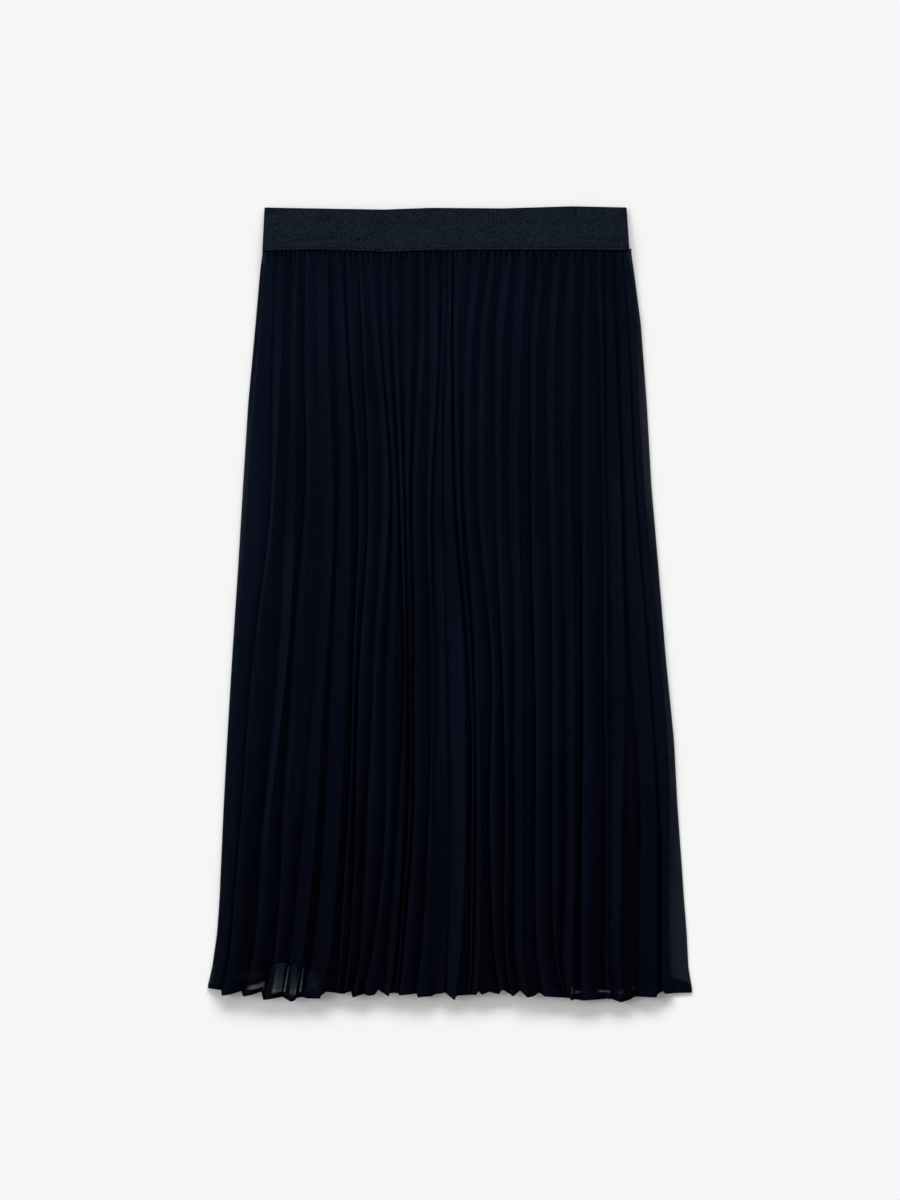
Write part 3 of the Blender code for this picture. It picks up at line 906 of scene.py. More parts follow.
@dataclass(frozen=True)
class ChiffonFinish:
    """Sheer crepe chiffon: matt, a little grainy, with painted shade down in its folds and painted
    light on its lit faces.
    """

    # lit, dusk and deep are one navy painted at three levels of light: lit faces, half shade, and the
    # deepest shade down in the valleys.
    lit: tuple = (0.0031, 0.0088, 0.0180)
    plum: tuple = (0.0040, 0.0067, 0.0168)
    deep: tuple = (0.0002, 0.0001, 0.0010)
    dusk: tuple = (0.0021, 0.0029, 0.0077)
    dusk_tone: float = 0.45
    # thin is one sheer layer's own navy, with the blue of the light that comes through it painted in.
    thin: tuple = (0.0018, 0.0058, 0.0150)
    layer_gap: float = 0.63      # share of light that passes each face of one layer
    grain: float = 620.0
    thread_pitch: float = 0.0008

    def material(self, name: str) -> bpy.types.Material:
        """Make the chiffon, for meshes that carry crest, layers, gather and below.

        Args:
            name: the material's name.

        Returns:
            The material.
        """
        board = Board(name)
        where = board.position()
        across, along = board.cloth_axes()
        # crest carries the painted light and shade of the folds: 0 down in the valleys, 1 on the
        # lightest faces.
        painted_shading = board.attribute("painted_shading")
        layers = board.attribute("layers")
        below = board.attribute("below")
        turn = 2.0 * math.pi / self.thread_pitch
        weave = (across * turn).sine() * (along * turn).sine()
        grain = board.noise(where, self.grain, 3.0, 0.7) - 0.5
        cloud = board.noise(board.stretched(where, (30.0, 5.0, 30.0)), 1.0) - 0.5
        streak = board.noise(board.stretched(where, (170.0, 3.0, 1.0)), 1.0, 2.0) - 0.5
        # Painted shade in the small folds of the gathers just under the band, and painted light on the
        # swells between them.
        gathers = board.attribute("gather").sine()
        reach = (board.noise(board.stretched(where, (90.0, 1.0, 1.0)), 1.0) * 14.0 - 5.0).floored()
        narrowing = below / (reach + 1.3)
        tick = ((gathers + 0.1 - narrowing * 0.3) * 3.0).clamped()
        shadow = (tick * 0.82 ** narrowing).clamped() * 0.88
        swell_light = (0.0 - gathers).clamped() * 0.75 ** below * 0.3
        tone = painted_shading * (1.0 + grain * 1.5 + cloud * 0.7 + streak * 0.5 + weave * 0.05)
        tone = tone * (1.0 - shadow + swell_light)
        lit = board.mix((cloud * 1.5 + grain * 3.0 + 0.4).clamped(), self.lit, self.plum)
        # From deep through dusk to lit, the tone paints the folds' shade and light into one navy.
        low = board.mix((tone / self.dusk_tone).clamped(), self.deep, self.dusk)
        high = (tone - self.dusk_tone) / (1.0 - self.dusk_tone)
        shaded_and_lit = board.mix(high.floored(), low, lit)
        colour = board.mix((1.6 - layers * 0.45).clamped(), shaded_and_lit, self.thin)
        gap = self.layer_gap ** (layers * (1.0 + grain * 0.9))
        height = grain + weave * 0.35
        return board.finish(
            Base_Color=colour,
            Alpha=(1.0 - gap).clamped(),
            Roughness=(0.72 + grain * 0.3).clamped(),
            Normal=board.bump(height, 0.35, 0.0004),
            Specular_IOR_Level=0.005,
            Sheen_Weight=0.0015,
            Sheen_Roughness=0.5,
        )


@dataclass(frozen=True)
class LiningFinish:
    """Plain matt lining, close woven."""

    colour: tuple = (0.0022, 0.0026, 0.0068)
    dark: tuple = (0.0012, 0.0013, 0.0038)
    thread_pitch: float = 0.0006

    def material(self, name: str) -> bpy.types.Material:
        """Make the lining cloth.

        Args:
            name: the material's name.

        Returns:
            The material.
        """
        board = Board(name)
        across, along = board.cloth_axes()
        turn = 2.0 * math.pi / self.thread_pitch
        weave = (across * turn).sine() * (along * turn).sine()
        grain = board.noise(board.position(), 900.0, 2.0, 0.6)
        colour = board.mix(grain, self.dark, self.colour)
        return board.finish(
            Base_Color=colour,
            Roughness=(grain * 0.2 + 0.55).clamped(),
            Normal=board.bump(grain + weave * 0.3, 0.3, 0.0003),
            Specular_IOR_Level=0.012,
        )


@dataclass(frozen=True)
class SatinElasticFinish:
    """Satin-faced elastic: a soft gleam over close lengthwise ribs."""

    bright: tuple = (0.0064, 0.0112, 0.0184)
    dark: tuple = (0.0014, 0.0030, 0.0064)
    plum: tuple = (0.0062, 0.0070, 0.0142)
    rib_pitch: float = 0.0011

    def material(self, name: str) -> bpy.types.Material:
        """Make the elastic, for meshes that carry dent: the painted shade of the wrinkles, with the
        band's darker and lighter lines.

        Args:
            name: the material's name.

        Returns:
            The material.
        """
        board = Board(name)
        where = board.position()
        across, along = board.cloth_axes()
        turn = 2.0 * math.pi / self.rib_pitch
        ribs = (along * turn).sine()
        crossing = (across * (turn * 1.4)).sine()
        grain = board.noise(where, 1050.0, 1.0, 0.5)
        cloud = board.noise(board.stretched(where, (60.0, 170.0, 60.0)), 1.0, 3.0)
        # dent carries painted shade in the wrinkles' dents, and makes the band darker along its stitch
        # line, at its ends and along its top edge, and lighter below the stitch line.
        dent = board.attribute("dent")
        tone = (grain - 0.5) * 8.8 + ribs * 0.04 + (cloud - 0.5) * 1.2 + 0.55 - dent * 1.3
        cloth = board.mix(tone.floored(), self.dark, self.bright)
        colour = board.mix((cloud * 3.0 - 1.35).clamped() * 0.5, cloth, self.plum)
        height = ribs * 0.3 + crossing * 0.12 + grain * 0.8
        return board.finish(
            Base_Color=colour,
            Roughness=(0.42 + grain * 0.25).clamped(),
            Normal=board.bump(height, 0.4, 0.0003),
            Specular_IOR_Level=0.02,
            Sheen_Weight=0.006,
            Sheen_Roughness=0.35,
        )


@dataclass(frozen=True)
class ThreadFinish:
    """Polyester sewing thread, with its twist."""

    colour: tuple = (0.0020, 0.0028, 0.0062)
    light: tuple = (0.0062, 0.0085, 0.0150)

    def material(self, name: str) -> bpy.types.Material:
        """Make the thread.

        Args:
            name: the material's name.

        Returns:
            The material.
        """
        board = Board(name)
        where = board.position()
        twist = board.noise(board.stretched(where, (1.0, 0.4, 1.0)), 2600.0, 1.0)
        return board.finish(
            Base_Color=board.mix(twist, self.colour, self.light),
            Roughness=(0.5 + twist * 0.2).clamped(),
            Normal=board.bump(twist, 0.3, 0.0002),
            Specular_IOR_Level=0.04,
        )


@dataclass(frozen=True)
class FloorFinish:
    """A plain pale surface."""

    colour: tuple = (0.885, 0.885, 0.885)
    shade: tuple = (0.875, 0.875, 0.875)

    def material(self, name: str) -> bpy.types.Material:
        """Make the surface.

        Args:
            name: the material's name.

        Returns:
            The material.
        """
        board = Board(name)
        haze = board.noise(board.position(), 3.0, 1.0)
        return board.finish(
            Base_Color=board.mix(haze, self.shade, self.colour),
            Roughness=0.9,
            Specular_IOR_Level=0.0,
        )


@dataclass
class PleatedPanel:
    """One pleated chiffon panel, front or back."""

    side: Side
    name: str
    node: str
    floor: float               # height of the outer face in the valleys
    edge_height: float         # height of the outer face at the sides
    hem_line: float
    pleat_depth: float = 2.2   # depth of the back's grooves
    roll_strip: float = 6.5
    flat_strip: float = 12.5
    hem_sag: float = 0.8       # how much lower the valleys lie past the lining's hem
    gather_depth: float = 0.5
    gather_pitch: tuple = (4.6, 7.2)     # at the left and at the right
    gather_run: float = 7.0    # how far down the gathers fade
    bulge: float = 2.1         # how far the gathered cloth swells out under the band
    bulge_run: float = 22.0    # how far down the swell fades
    band_room: float = 7.1     # highest that the cloth lies inside the band
    cut: tuple = field(default=(), init=False)      # flat width, length and area, in metres
    hem_points: np.ndarray = field(default=None, init=False)

    def rows(self) -> list:
        """Choose the heights of the mesh's rows, closer at the gathers and the hem.

        Returns:
            The heights, falling.
        """
        gathers = list(np.arange(TOP_LINE, 348.0, -0.5)) + list(np.arange(348.0, 335.0, -1.6))
        upper = list(np.arange(335.0, 300.0, -3.5))
        middle = list(np.linspace(300.0, -340.0, 68))
        lower = list(np.linspace(-345.0, -360.0, 6))
        hem = list(np.linspace(-361.5, self.hem_line, 20))
        return gathers + upper + middle + lower + hem

    def side_controls(self, controls: Controls, y: float, edge: float, lining: float,
                      inward: float, layers: float) -> None:
        """Add the points that round a side over the lining's edge.

        Args:
            controls: the section, added to.
            y: its height.
            edge: the skirt's side there.
            lining: the lining's side there.
            inward: 1 on the left, -1 on the right, which ends the section.
            layers: how many layers of chiffon lie outside the lining.
        """
        strip = abs(edge - lining)
        flat = clamp((strip - self.roll_strip) / (self.flat_strip - self.roll_strip))
        top = self.floor - self.edge_height
        lowering = blend(1.0, 0.5, PLAN.past_lining(y))
        dense = 2.0 * ease((y - 170.0) / 60.0) * ease((TOP_LINE - y) / 30.0) if inward > 0 else 0.0
        edge_layers = 0.6 if inward > 0 else 0.2
        # Each point: how far in, how high, its layers, and its painted light and shade.
        shape = (
            (0.0, 0.0, layers + edge_layers + dense, 0.5),
            (0.9, blend(2.3, 0.5, flat), layers + dense, 0.8),
            (strip - 3.1, blend(4.1, 0.8, flat), layers + 0.6 * dense, 0.9),
            (strip - 2.4, blend(4.4, 1.2, flat), layers - 0.62 * dense, 0.9),
            (strip - 0.8, blend(5.2, 3.0, flat), layers - 0.62 * dense, 0.9),
            (strip - 0.35, top, SOLID, 0.9),
        )
        for away, up, count, tone in shape if inward > 0 else shape[::-1]:
            controls.add(edge + inward * away, self.edge_height + up * lowering,
                         tone, count, 2)

    def seen_edge(self, index: int, edge: float, y: float) -> float:
        """Return where a fold's edge is seen: it wavers, and a narrow face turns it right."""
        waver = 0.45 * math.sin(y / 43.0 + 2.4 * index) * clamp((345.0 - y) / 60.0)
        return edge + waver + 1.5 * clamp((5.0 - PLAN.face(FOLDS[index], y)) / 2.5)

    def slope_tones(self, index: int, gap: float, y: float) -> tuple:
        """Return how light the slope before a fold and its valley are.

        Args:
            index: the fold's number.
            gap: how wide the slope is.
            y: the height.

        Returns:
            The slope's tone and the valley's.
        """
        low_shade = blend(1.0, 0.78, ease((-120.0 - y) / 160.0))
        wide = clamp((gap - 4.0) / 10.0)
        slope = blend(0.30, 0.48, wide) * low_shade if index else 0.85
        darker = PLAN.groove(index, y)
        if darker >= 0.0:
            return slope, 0.15 - darker
        slope = blend(slope, 0.9, -darker)
        return slope, blend(0.3, slope, -darker)

    def front_controls(self, y: float) -> Controls:
        """Return the front's corner points.

        Each fold has the shoulder of the slope that runs down from the fold
        before, the valley, and its lit face up to its sharp edge.

        Args:
            y: the section's height.

        Returns:
            The points, from left to right.
        """
        left, right, lining_left, lining_right = PLAN.sides(y)
        left_layers = read_table(SHEER_STRIPS, "y", "left", y)
        right_layers = read_table(SHEER_STRIPS, "y", "right", y)
        pressed = PLAN.pressed(y)
        rise = PLAN.rise(y)
        floor = self.floor - self.hem_sag * PLAN.past_lining(y)
        controls = Controls.empty()
        self.side_controls(controls, y, left, lining_left, 1.0, left_layers)
        before = controls.x[-1]
        height_before = 0.6 * rise
        edges = PLAN.edges(y)
        for index, (fold, planned) in enumerate(zip(FOLDS, edges)):
            edge = self.seen_edge(index, planned, y)
            swell = 1.0 + 0.10 * math.sin(y / 61.0 + 1.7 * index)
            pitch = edge - before
            height = rise * blend(fold.upper, fold.lower, pressed) * swell
            face = min(PLAN.face(fold, y), WIDEST_FACE * pitch)
            gap = (pitch - face) * (1.0 + 0.07 * math.sin(y / 57.0 + 3.1 * index))
            gap = clamp(gap, 1.8, pitch - 1.4)
            valley = before + gap
            shoulder = before + SHOULDER_SHARE * gap
            shoulder_height = height_before * blend(1.0 - SHOULDER_SHARE, PRESSED_SHOULDER, pressed)
            slope, low = self.slope_tones(index, gap, y)
            lit = clamp(0.50 + 0.55 * height / (edge - valley), 0.55, 1.0)
            lit += PLAN.gleam(index, y)
            foot = max(valley - 1.7, shoulder + 0.3)
            turn = min(0.3 * (edge - valley), 1.3)
            turn_height = height * 1.07 * turn / (edge - valley)
            after = PLAN.after_tone(index, edges, y)
            fine = next((row for row in FINE_FOLDS if row.fold == index), COMMON_FOLD)
            # The third number of each point is its painted light and shade.
            controls.add(shoulder, floor + shoulder_height, slope, SOLID, fine.slope)
            controls.add(foot, floor + 0.15 + 0.35 * shoulder_height, 0.7 * slope, SOLID, fine.foot)
            controls.add(valley - 0.4, floor + 0.1, low, SOLID, 1)
            controls.add(valley + 0.2, floor, low, SOLID, 1)
            controls.add(valley + turn, floor + turn_height, 0.88 * lit, SOLID, 1)
            controls.add(edge - 0.5, floor + 0.95 * height, lit, SOLID, fine.face)
            controls.add(edge + 0.1, floor + height, lit, SOLID, 1)
            controls.add(edge + 0.8, floor + 0.96 * height, after, SOLID, 1)
            before = edge
            height_before = height
        room = lining_right - before
        dip = blend(1.2, 5.0, ease((-100.0 - y) / 180.0))
        controls.add(before + dip, floor + 0.1, 0.0, SOLID, 3)
        controls.add(before + dip + 1.2, floor + 0.3, 0.75, SOLID, 1)
        controls.add(before + 0.6 * (room + dip), floor + 0.35 * rise, 0.95, SOLID, 3)
        self.side_controls(controls, y, right, lining_right, -1.0, right_layers)
        return controls

    def back_controls(self, y: float) -> Controls:
        """Return the back's corner points: flat strips with a groove at each fold.

        Args:
            y: the section's height.

        Returns:
            The points, from left to right.
        """
        left, right, lining_left, lining_right = PLAN.sides(y)
        inner_left = lining_left + 2.0
        inner_right = lining_right - 2.0
        depth = self.pleat_depth * clamp((352.0 - y) / 60.0, 0.15, 1.0)
        lift = 2.3 * ease((y - 336.0) / 14.0)
        controls = Controls.empty()
        # The third number of each point is its painted light and shade, darkest down in each groove.
        controls.add(left, lift, 0.7, SINGLE, 1, CORNER_DROP[0])
        controls.add(inner_left, lift, 0.7, SINGLE, 4, CORNER_DROP[0])
        pairs = list(zip(FOLDS, PLAN.edges(y)))
        last = inner_left
        for fold, edge in reversed(pairs):
            share = (right - edge) / (right - left)
            x = max(blend(inner_left, inner_right, share), last + 2.8)
            last = x + 1.2
            controls.add(x - 2.6, lift, 0.9, SOLID, 4, fold.edge_drop)
            controls.add(x, lift + depth, 0.0, SOLID, 3, fold.edge_drop)
            controls.add(x + 1.2, lift, 1.0, SOLID, 2, fold.tip_drop)
        controls.add(max(inner_right, last + 0.5), lift, 0.7, SINGLE, 4, CORNER_DROP[1])
        controls.add(right, lift, 0.7, SINGLE, 4, CORNER_DROP[1])
        return controls

    def layers_at(self, x: np.ndarray, y: np.ndarray, layers: np.ndarray) -> np.ndarray:
        """Return the layers of cloth, fewer in the thin patches and more in the hem.

        Args:
            x: the mesh points' places across, a row for each height.
            y: their heights.
            layers: how many layers the section has there.

        Returns:
            The layers at each point.
        """
        front = self.side is Side.FRONT
        margin = 0.5 if front else 5.5
        past_back = np.clip((BACK_HEM_LINE - y) / 1.5, 0.0, 1.0)
        result = layers
        open_cloth = np.zeros_like(x)
        for patch in THIN_PATCHES:
            lean = patch.slant * (patch.top - y) / max(patch.top - patch.bottom, 1.0)
            inside = np.minimum(x - patch.left - lean, patch.right + lean - x)
            across = np.clip((x - patch.left) / (patch.right - patch.left), 0.0, 1.0)
            top = patch.top + patch.rise * across
            inside = np.minimum(inside, np.minimum(top - y, y - patch.bottom))
            share = np.clip(inside + margin, 0.0, 1.0)
            depth = np.clip((patch.top - y) / (patch.top - patch.bottom), 0.0, 1.0)
            front_layers = patch.upper + (patch.lower - patch.upper) * depth + 0.5 * past_back
            thin = front_layers if front else 0.4
            result = result + (thin - result) * share
            open_cloth = np.maximum(open_cloth, share)
        turned = 3.2 + 9.6 * np.clip((239.4 - x) / 21.4, 0.0, 1.0)
        turned = turned * np.clip(x - 211.0, 0.0, 1.0)
        width = HEM_WIDTH + (turned if front else 0.0)
        inside_hem = np.clip((width - (y - y[-1][None, :])) / 0.8 + 0.5, 0.0, 1.0)
        if not front:
            open_cloth = np.maximum(open_cloth, np.clip(x - 214.0, 0.0, 1.0))
            inside_hem = inside_hem * (1.0 - open_cloth)
        return result + (HEM_LAYERS - result) * inside_hem

    def gather_phase(self, x: np.ndarray) -> np.ndarray:
        """Return the gathers' phase, which rises by one turn from gather to gather.

        Args:
            x: the places across.

        Returns:
            The phase there, in radians.
        """
        first, last = self.gather_pitch
        left, right = BAND_SIDES_BOTTOM
        growth = (last - first) / (right - left)
        pitch = first + growth * np.clip(x - left, 0.0, None)
        turns = np.log(pitch / first) / growth
        return 2.0 * math.pi * turns + 1.9 * np.sin(x / 26.0) + 0.9 * np.sin(x / 9.1)

    def gathered(self, z: np.ndarray, phase: np.ndarray, below: np.ndarray) -> np.ndarray:
        """Hold the cloth down inside the band and let it swell out under it.

        Args:
            z: the cloth's heights.
            phase: the gathers' phase.
            below: how far below the band's lower edge each point lies.

        Returns:
            The new heights.
        """
        free = np.clip(below / 0.5, 0.0, 1.0)
        swell = self.bulge * np.exp(-below / self.bulge_run)
        pucker = self.gather_depth * np.sin(phase) * np.exp(-below / self.gather_run)
        risen = np.maximum(z - self.band_room, 0.0) + swell + pucker
        return np.minimum(z, self.band_room) + free * risen

    def build(self, material: bpy.types.Material) -> bpy.types.Object:
        """Build the panel.

        Args:
            material: the chiffon.

        Returns:
            The panel, which rides on the body and replaces its solid.
        """
        front = self.side is Side.FRONT
        rows = self.rows()
        fine = np.stack([(self.front_controls(y) if front else self.back_controls(y)).sample()
                         for y in rows])
        heights = np.asarray(rows)[:, None] * np.ones(fine.shape[1])[None, :]
        share = np.clip((HEM_START - heights) / (HEM_START - self.hem_line), 0.0, 1.0) ** 1.5
        x = fine[:, :, 0]
        if front:
            drop = np.interp(x[-1], [point.x for point in HEM_POINTS],
                             [point.drop for point in HEM_POINTS])[None, :]
        else:
            drop = fine[:, :, 4] * BACK_HEM_SHARE
        y = heights - drop * share
        z = fine[:, :, 1]
        painted_shading = fine[:, :, 2]
        if front:
            phase = self.gather_phase(x)
            below = np.clip(PLAN.band_bottom(x) - 0.2 - y, 0.0, None)
            z = self.gathered(z, phase, below)
            # level paints the lit faces lighter near the waist and darker towards the hem, as the light
            # falls off, and valley sets how light the painted valleys stay. right makes the upper right
            # a little darker.
            level = np.array([read_table(SHADES, "y", "level", row) for row in rows])[:, None]
            valley = np.array([read_table(SHADES, "y", "valley", row) for row in rows])[:, None]
            right = np.clip((x - 40.0) / 120.0, 0.0, 1.0) * np.clip((y - 20.0) / 160.0, 0.0, 1.0)
            painted_shading = level * (1.0 - 0.10 * right) * (valley + (1.0 - valley) * painted_shading)
        else:
            phase = np.zeros_like(x)
            below = np.full_like(x, 100.0)
        points = np.stack([x, y, z], axis=2).reshape(-1, 3)
        faces = grid_faces(len(rows), fine.shape[1], upwards=front)
        panel = new_object(self.name, points, faces)
        spans = np.hypot(np.diff(x, axis=1), np.diff(z, axis=1))
        across = np.concatenate([np.zeros((len(rows), 1)), np.cumsum(spans, axis=1)], axis=1)
        across -= across.mean(axis=1, keepdims=True)
        set_attribute(panel.data, "painted_shading", painted_shading)
        set_attribute(panel.data, "gather", phase)
        set_attribute(panel.data, "below", below)
        set_attribute(panel.data, "layers", self.layers_at(x, y, fine[:, :, 3]))
        set_cloth_map(panel.data, across, y)
        thicken(panel, CHIFFON)
        panel.data.materials.append(material)
        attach(panel, BODY)
        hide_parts(self.node)
        self.cut = self.measure(spans, rows)
        self.hem_points = points.reshape(len(rows), -1, 3)[-1]
        return panel

    def measure(self, spans: np.ndarray, rows: Sequence[float]) -> tuple:
        """Measure the flat cut, with the folds let out.

        Args:
            spans: the steps between neighbouring mesh points along each row.
            rows: the rows' heights.

        Returns:
            The cut's width, length and area, in metres.
        """
        widths = spans.sum(axis=1) * MM
        steps = -np.diff(np.asarray(rows)) * MM
        area = float(np.sum(0.5 * (widths[1:] + widths[:-1]) * steps))
        length = (rows[0] - rows[-1]) * MM
        return float(widths.max()), length, area


@dataclass
class LiningPanel:
    """One plain lining panel, flat but for faint ripples."""

    name: str
    node: str
    ripple: float
    hem: float = -358.0
    top: float = TOP_LINE
    columns: int = 60
    cut: tuple = field(default=(), init=False)      # flat width, length and area, in metres

    def build(self, material: bpy.types.Material) -> bpy.types.Object:
        """Build the panel where its solid lies.

        Args:
            material: the lining cloth.

        Returns:
            The panel, which rides on the body and replaces its solid.
        """
        low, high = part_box(self.node)
        middle = 0.5 * (low[2] + high[2]) / MM
        heights = np.concatenate([np.linspace(self.top, 346.0, 4),
                                  np.linspace(340.0, self.hem, 110)])
        rows = []
        for y in heights:
            _, _, left, right = PLAN.sides(float(y))
            tuck = 7.0 * ease((y - 346.0) / 6.0)
            x = np.linspace(left + tuck, right - tuck, self.columns + 1)
            wave = np.sin(x / 9.0 + self.ripple) * np.sin(x / 31.0 + y / 170.0)
            z = middle + LINING / 2.0 + 0.15 * wave
            rows.append(np.stack([x, np.full_like(x, y), z], axis=1))
        points = np.stack(rows)
        panel = new_object(self.name, points.reshape(-1, 3),
                           grid_faces(len(rows), self.columns + 1, upwards=True))
        set_cloth_map(panel.data, points[:, :, 0], points[:, :, 1])
        thicken(panel, LINING)
        panel.data.materials.append(material)
        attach(panel, BODY)
        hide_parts(self.node)
        widths = (points[:, -1, 0] - points[:, 0, 0]) * MM
        steps = -np.diff(heights) * MM
        area = float(np.sum(0.5 * (widths[1:] + widths[:-1]) * steps))
        self.cut = (float(widths.max()), (self.top - self.hem) * MM, area)
        return panel


@dataclass
class Waistband:
    """The flattened ring of satin-faced elastic."""

    name: str = "satin_waistband"
    node: str = "waistband"
    wall: float = 1.8
    thickness: float = 9.5
    top_thickness: float = 4.6
    run_steps: int = 150
    turn_steps: int = 8
    edge_round: float = 0.4

    def loop(self, share: float, inset: float) -> np.ndarray:
        """Return one loop of points round the band.

        Args:
            share: 0 at the lower edge, 1 at the upper edge.
            inset: how far in from the outer face the loop lies.

        Returns:
            The points, in millimetres.
        """
        left = blend(BAND_SIDES_BOTTOM[0], BAND_SIDES_TOP[0], share)
        right = blend(BAND_SIDES_BOTTOM[1], BAND_SIDES_TOP[1], share)
        thick = blend(self.thickness, self.top_thickness, share)
        middle = thick / 2.0
        radius = middle - inset
        run = np.linspace(0.0, 1.0, self.run_steps + 1)
        turn = np.pi * np.arange(1, self.turn_steps) / self.turn_steps
        x = np.concatenate([blend(left + middle, right - middle, run),
                            right - middle + radius * np.sin(turn),
                            blend(right - middle, left + middle, run),
                            left + middle - radius * np.sin(turn)])
        z = np.concatenate([np.full(run.shape, middle + radius),
                            middle + radius * np.cos(turn),
                            np.full(run.shape, middle - radius),
                            middle - radius * np.cos(turn)])
        across = np.clip((x - left) / (right - left), 0.0, 1.0)
        low = PLAN.band_edge(across, "bottom")
        high = PLAN.band_edge(across, "top")
        return np.stack([x, blend(low, high, share), z], axis=1)

    def dents(self, points: np.ndarray) -> np.ndarray:
        """Return how deep the wrinkles dent the band.

        Args:
            points: points on the band, in millimetres.

        Returns:
            The depth at each point.
        """
        depth = np.zeros(len(points))
        for crease in WRINKLES:
            along = (points[:, 0] - crease.x) / crease.half_length
            aside = (points[:, 1] - crease.y) / crease.half_width
            depth += crease.depth * np.exp(-along ** 2 - aside ** 2)
        return depth

    def build(self, material: bpy.types.Material) -> bpy.types.Object:
        """Build the band.

        Args:
            material: the satin elastic.

        Returns:
            The band, which rides on the body and replaces its solid.
        """
        shares = np.concatenate([[0.0, 0.008, 0.022, 0.040, 0.051, 0.060, 0.069, 0.078],
                                 np.linspace(0.1, 0.95, 21), [0.978, 0.992, 1.0]])
        rounding = self.edge_round * np.array(
            [1.0 - math.sqrt(1.0 - max(0.0, 1.0 - min(s, 1.0 - s) / 0.022) ** 2)
             for s in shares])
        outer = []
        wrinkle_shade_and_lines = []
        for share, edge_in in zip(shares, rounding):
            loop = self.loop(float(share), float(edge_in))
            dent = self.dents(loop)
            ripple = 0.10 * np.sin(loop[:, 0] / 6.3 + 2.0 * np.sin(loop[:, 1] / 9.0))
            up = np.where(loop[:, 2] > self.top_thickness / 2.0, 1.0, 0.35)
            loop[:, 2] -= up * (dent + ripple + 0.10) * np.sign(loop[:, 2] - 2.0).clip(0.0)
            outer.append(loop)
            # What goes into the dent attribute: painted shade in the wrinkles' dents, darker along the
            # stitch line, lighter on the strip below it, darker at the ends and along the top edge.
            seam = 1.1 if abs(share - 0.0645) < 0.006 else 0.0
            lip = 0.2 if 0.02 < share < 0.055 else 0.0
            ends = np.minimum(loop[:, 0] - loop[:, 0].min(), loop[:, 0].max() - loop[:, 0])
            end_darkening = 0.4 * np.clip(1.8 - ends, 0.0, 1.0)
            wrinkle_shade_and_lines.append(dent + seam - lip + end_darkening + 0.45 * ease((share - 0.965) / 0.02))
        inner = [self.loop(float(share), self.wall) for share in shares[::-4]]
        loops = outer + inner + [outer[0]]
        points = np.concatenate(loops[:-1])
        count = len(outer[0])
        faces = grid_faces(len(loops) - 1, count, upwards=True, closed=True)
        final = (len(loops) - 2) * count
        for j in range(count):
            beside = (j + 1) % count
            faces.append((final + j, j, beside, final + beside))
        band = new_object(self.name, points, faces)
        around = np.concatenate([[0.0], np.cumsum(np.hypot(*np.diff(
            loops[0][:, (0, 2)], axis=0).T))])
        across = np.concatenate([around for _ in loops[:-1]])
        set_cloth_map(band.data, across, points[:, 1])
        wrinkle_shade_and_line_values = np.concatenate(wrinkle_shade_and_lines + [np.zeros(count) for _ in inner])
        set_attribute(band.data, "dent", wrinkle_shade_and_line_values)
        turn_outwards(band.data)
        band.data.materials.append(material)
        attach(band, BODY)
        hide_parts(self.node)
        return band

    def stitch_line(self, side: Side, above: float) -> list:
        """Return points along the band's lower edge, on its face.

        Args:
            side: the front or the back of the band.
            above: how far above the edge the line runs.

        Returns:
            The points, in millimetres.
        """
        share = above / BAND_HEIGHT
        loop = self.loop(share, 0.0)
        count = self.run_steps + 1
        start = 0 if side is Side.FRONT else count + self.turn_steps - 1
        line = loop[start:start + count]
        lift = 0.0 if side is Side.FRONT else -0.05
        return [(x, y, z - self.dents(np.array([[x, y, z]]))[0] + lift) for x, y, z in line]


def turn_outwards(mesh: bpy.types.Mesh) -> None:
    """Turn the faces of a closed mesh so that they point out.

    Args:
        mesh: the mesh, changed in place.
    """
    shell = bmesh.new()
    shell.from_mesh(mesh)
    bmesh.ops.recalc_face_normals(shell, faces=shell.faces)
    shell.to_mesh(mesh)
    shell.free()


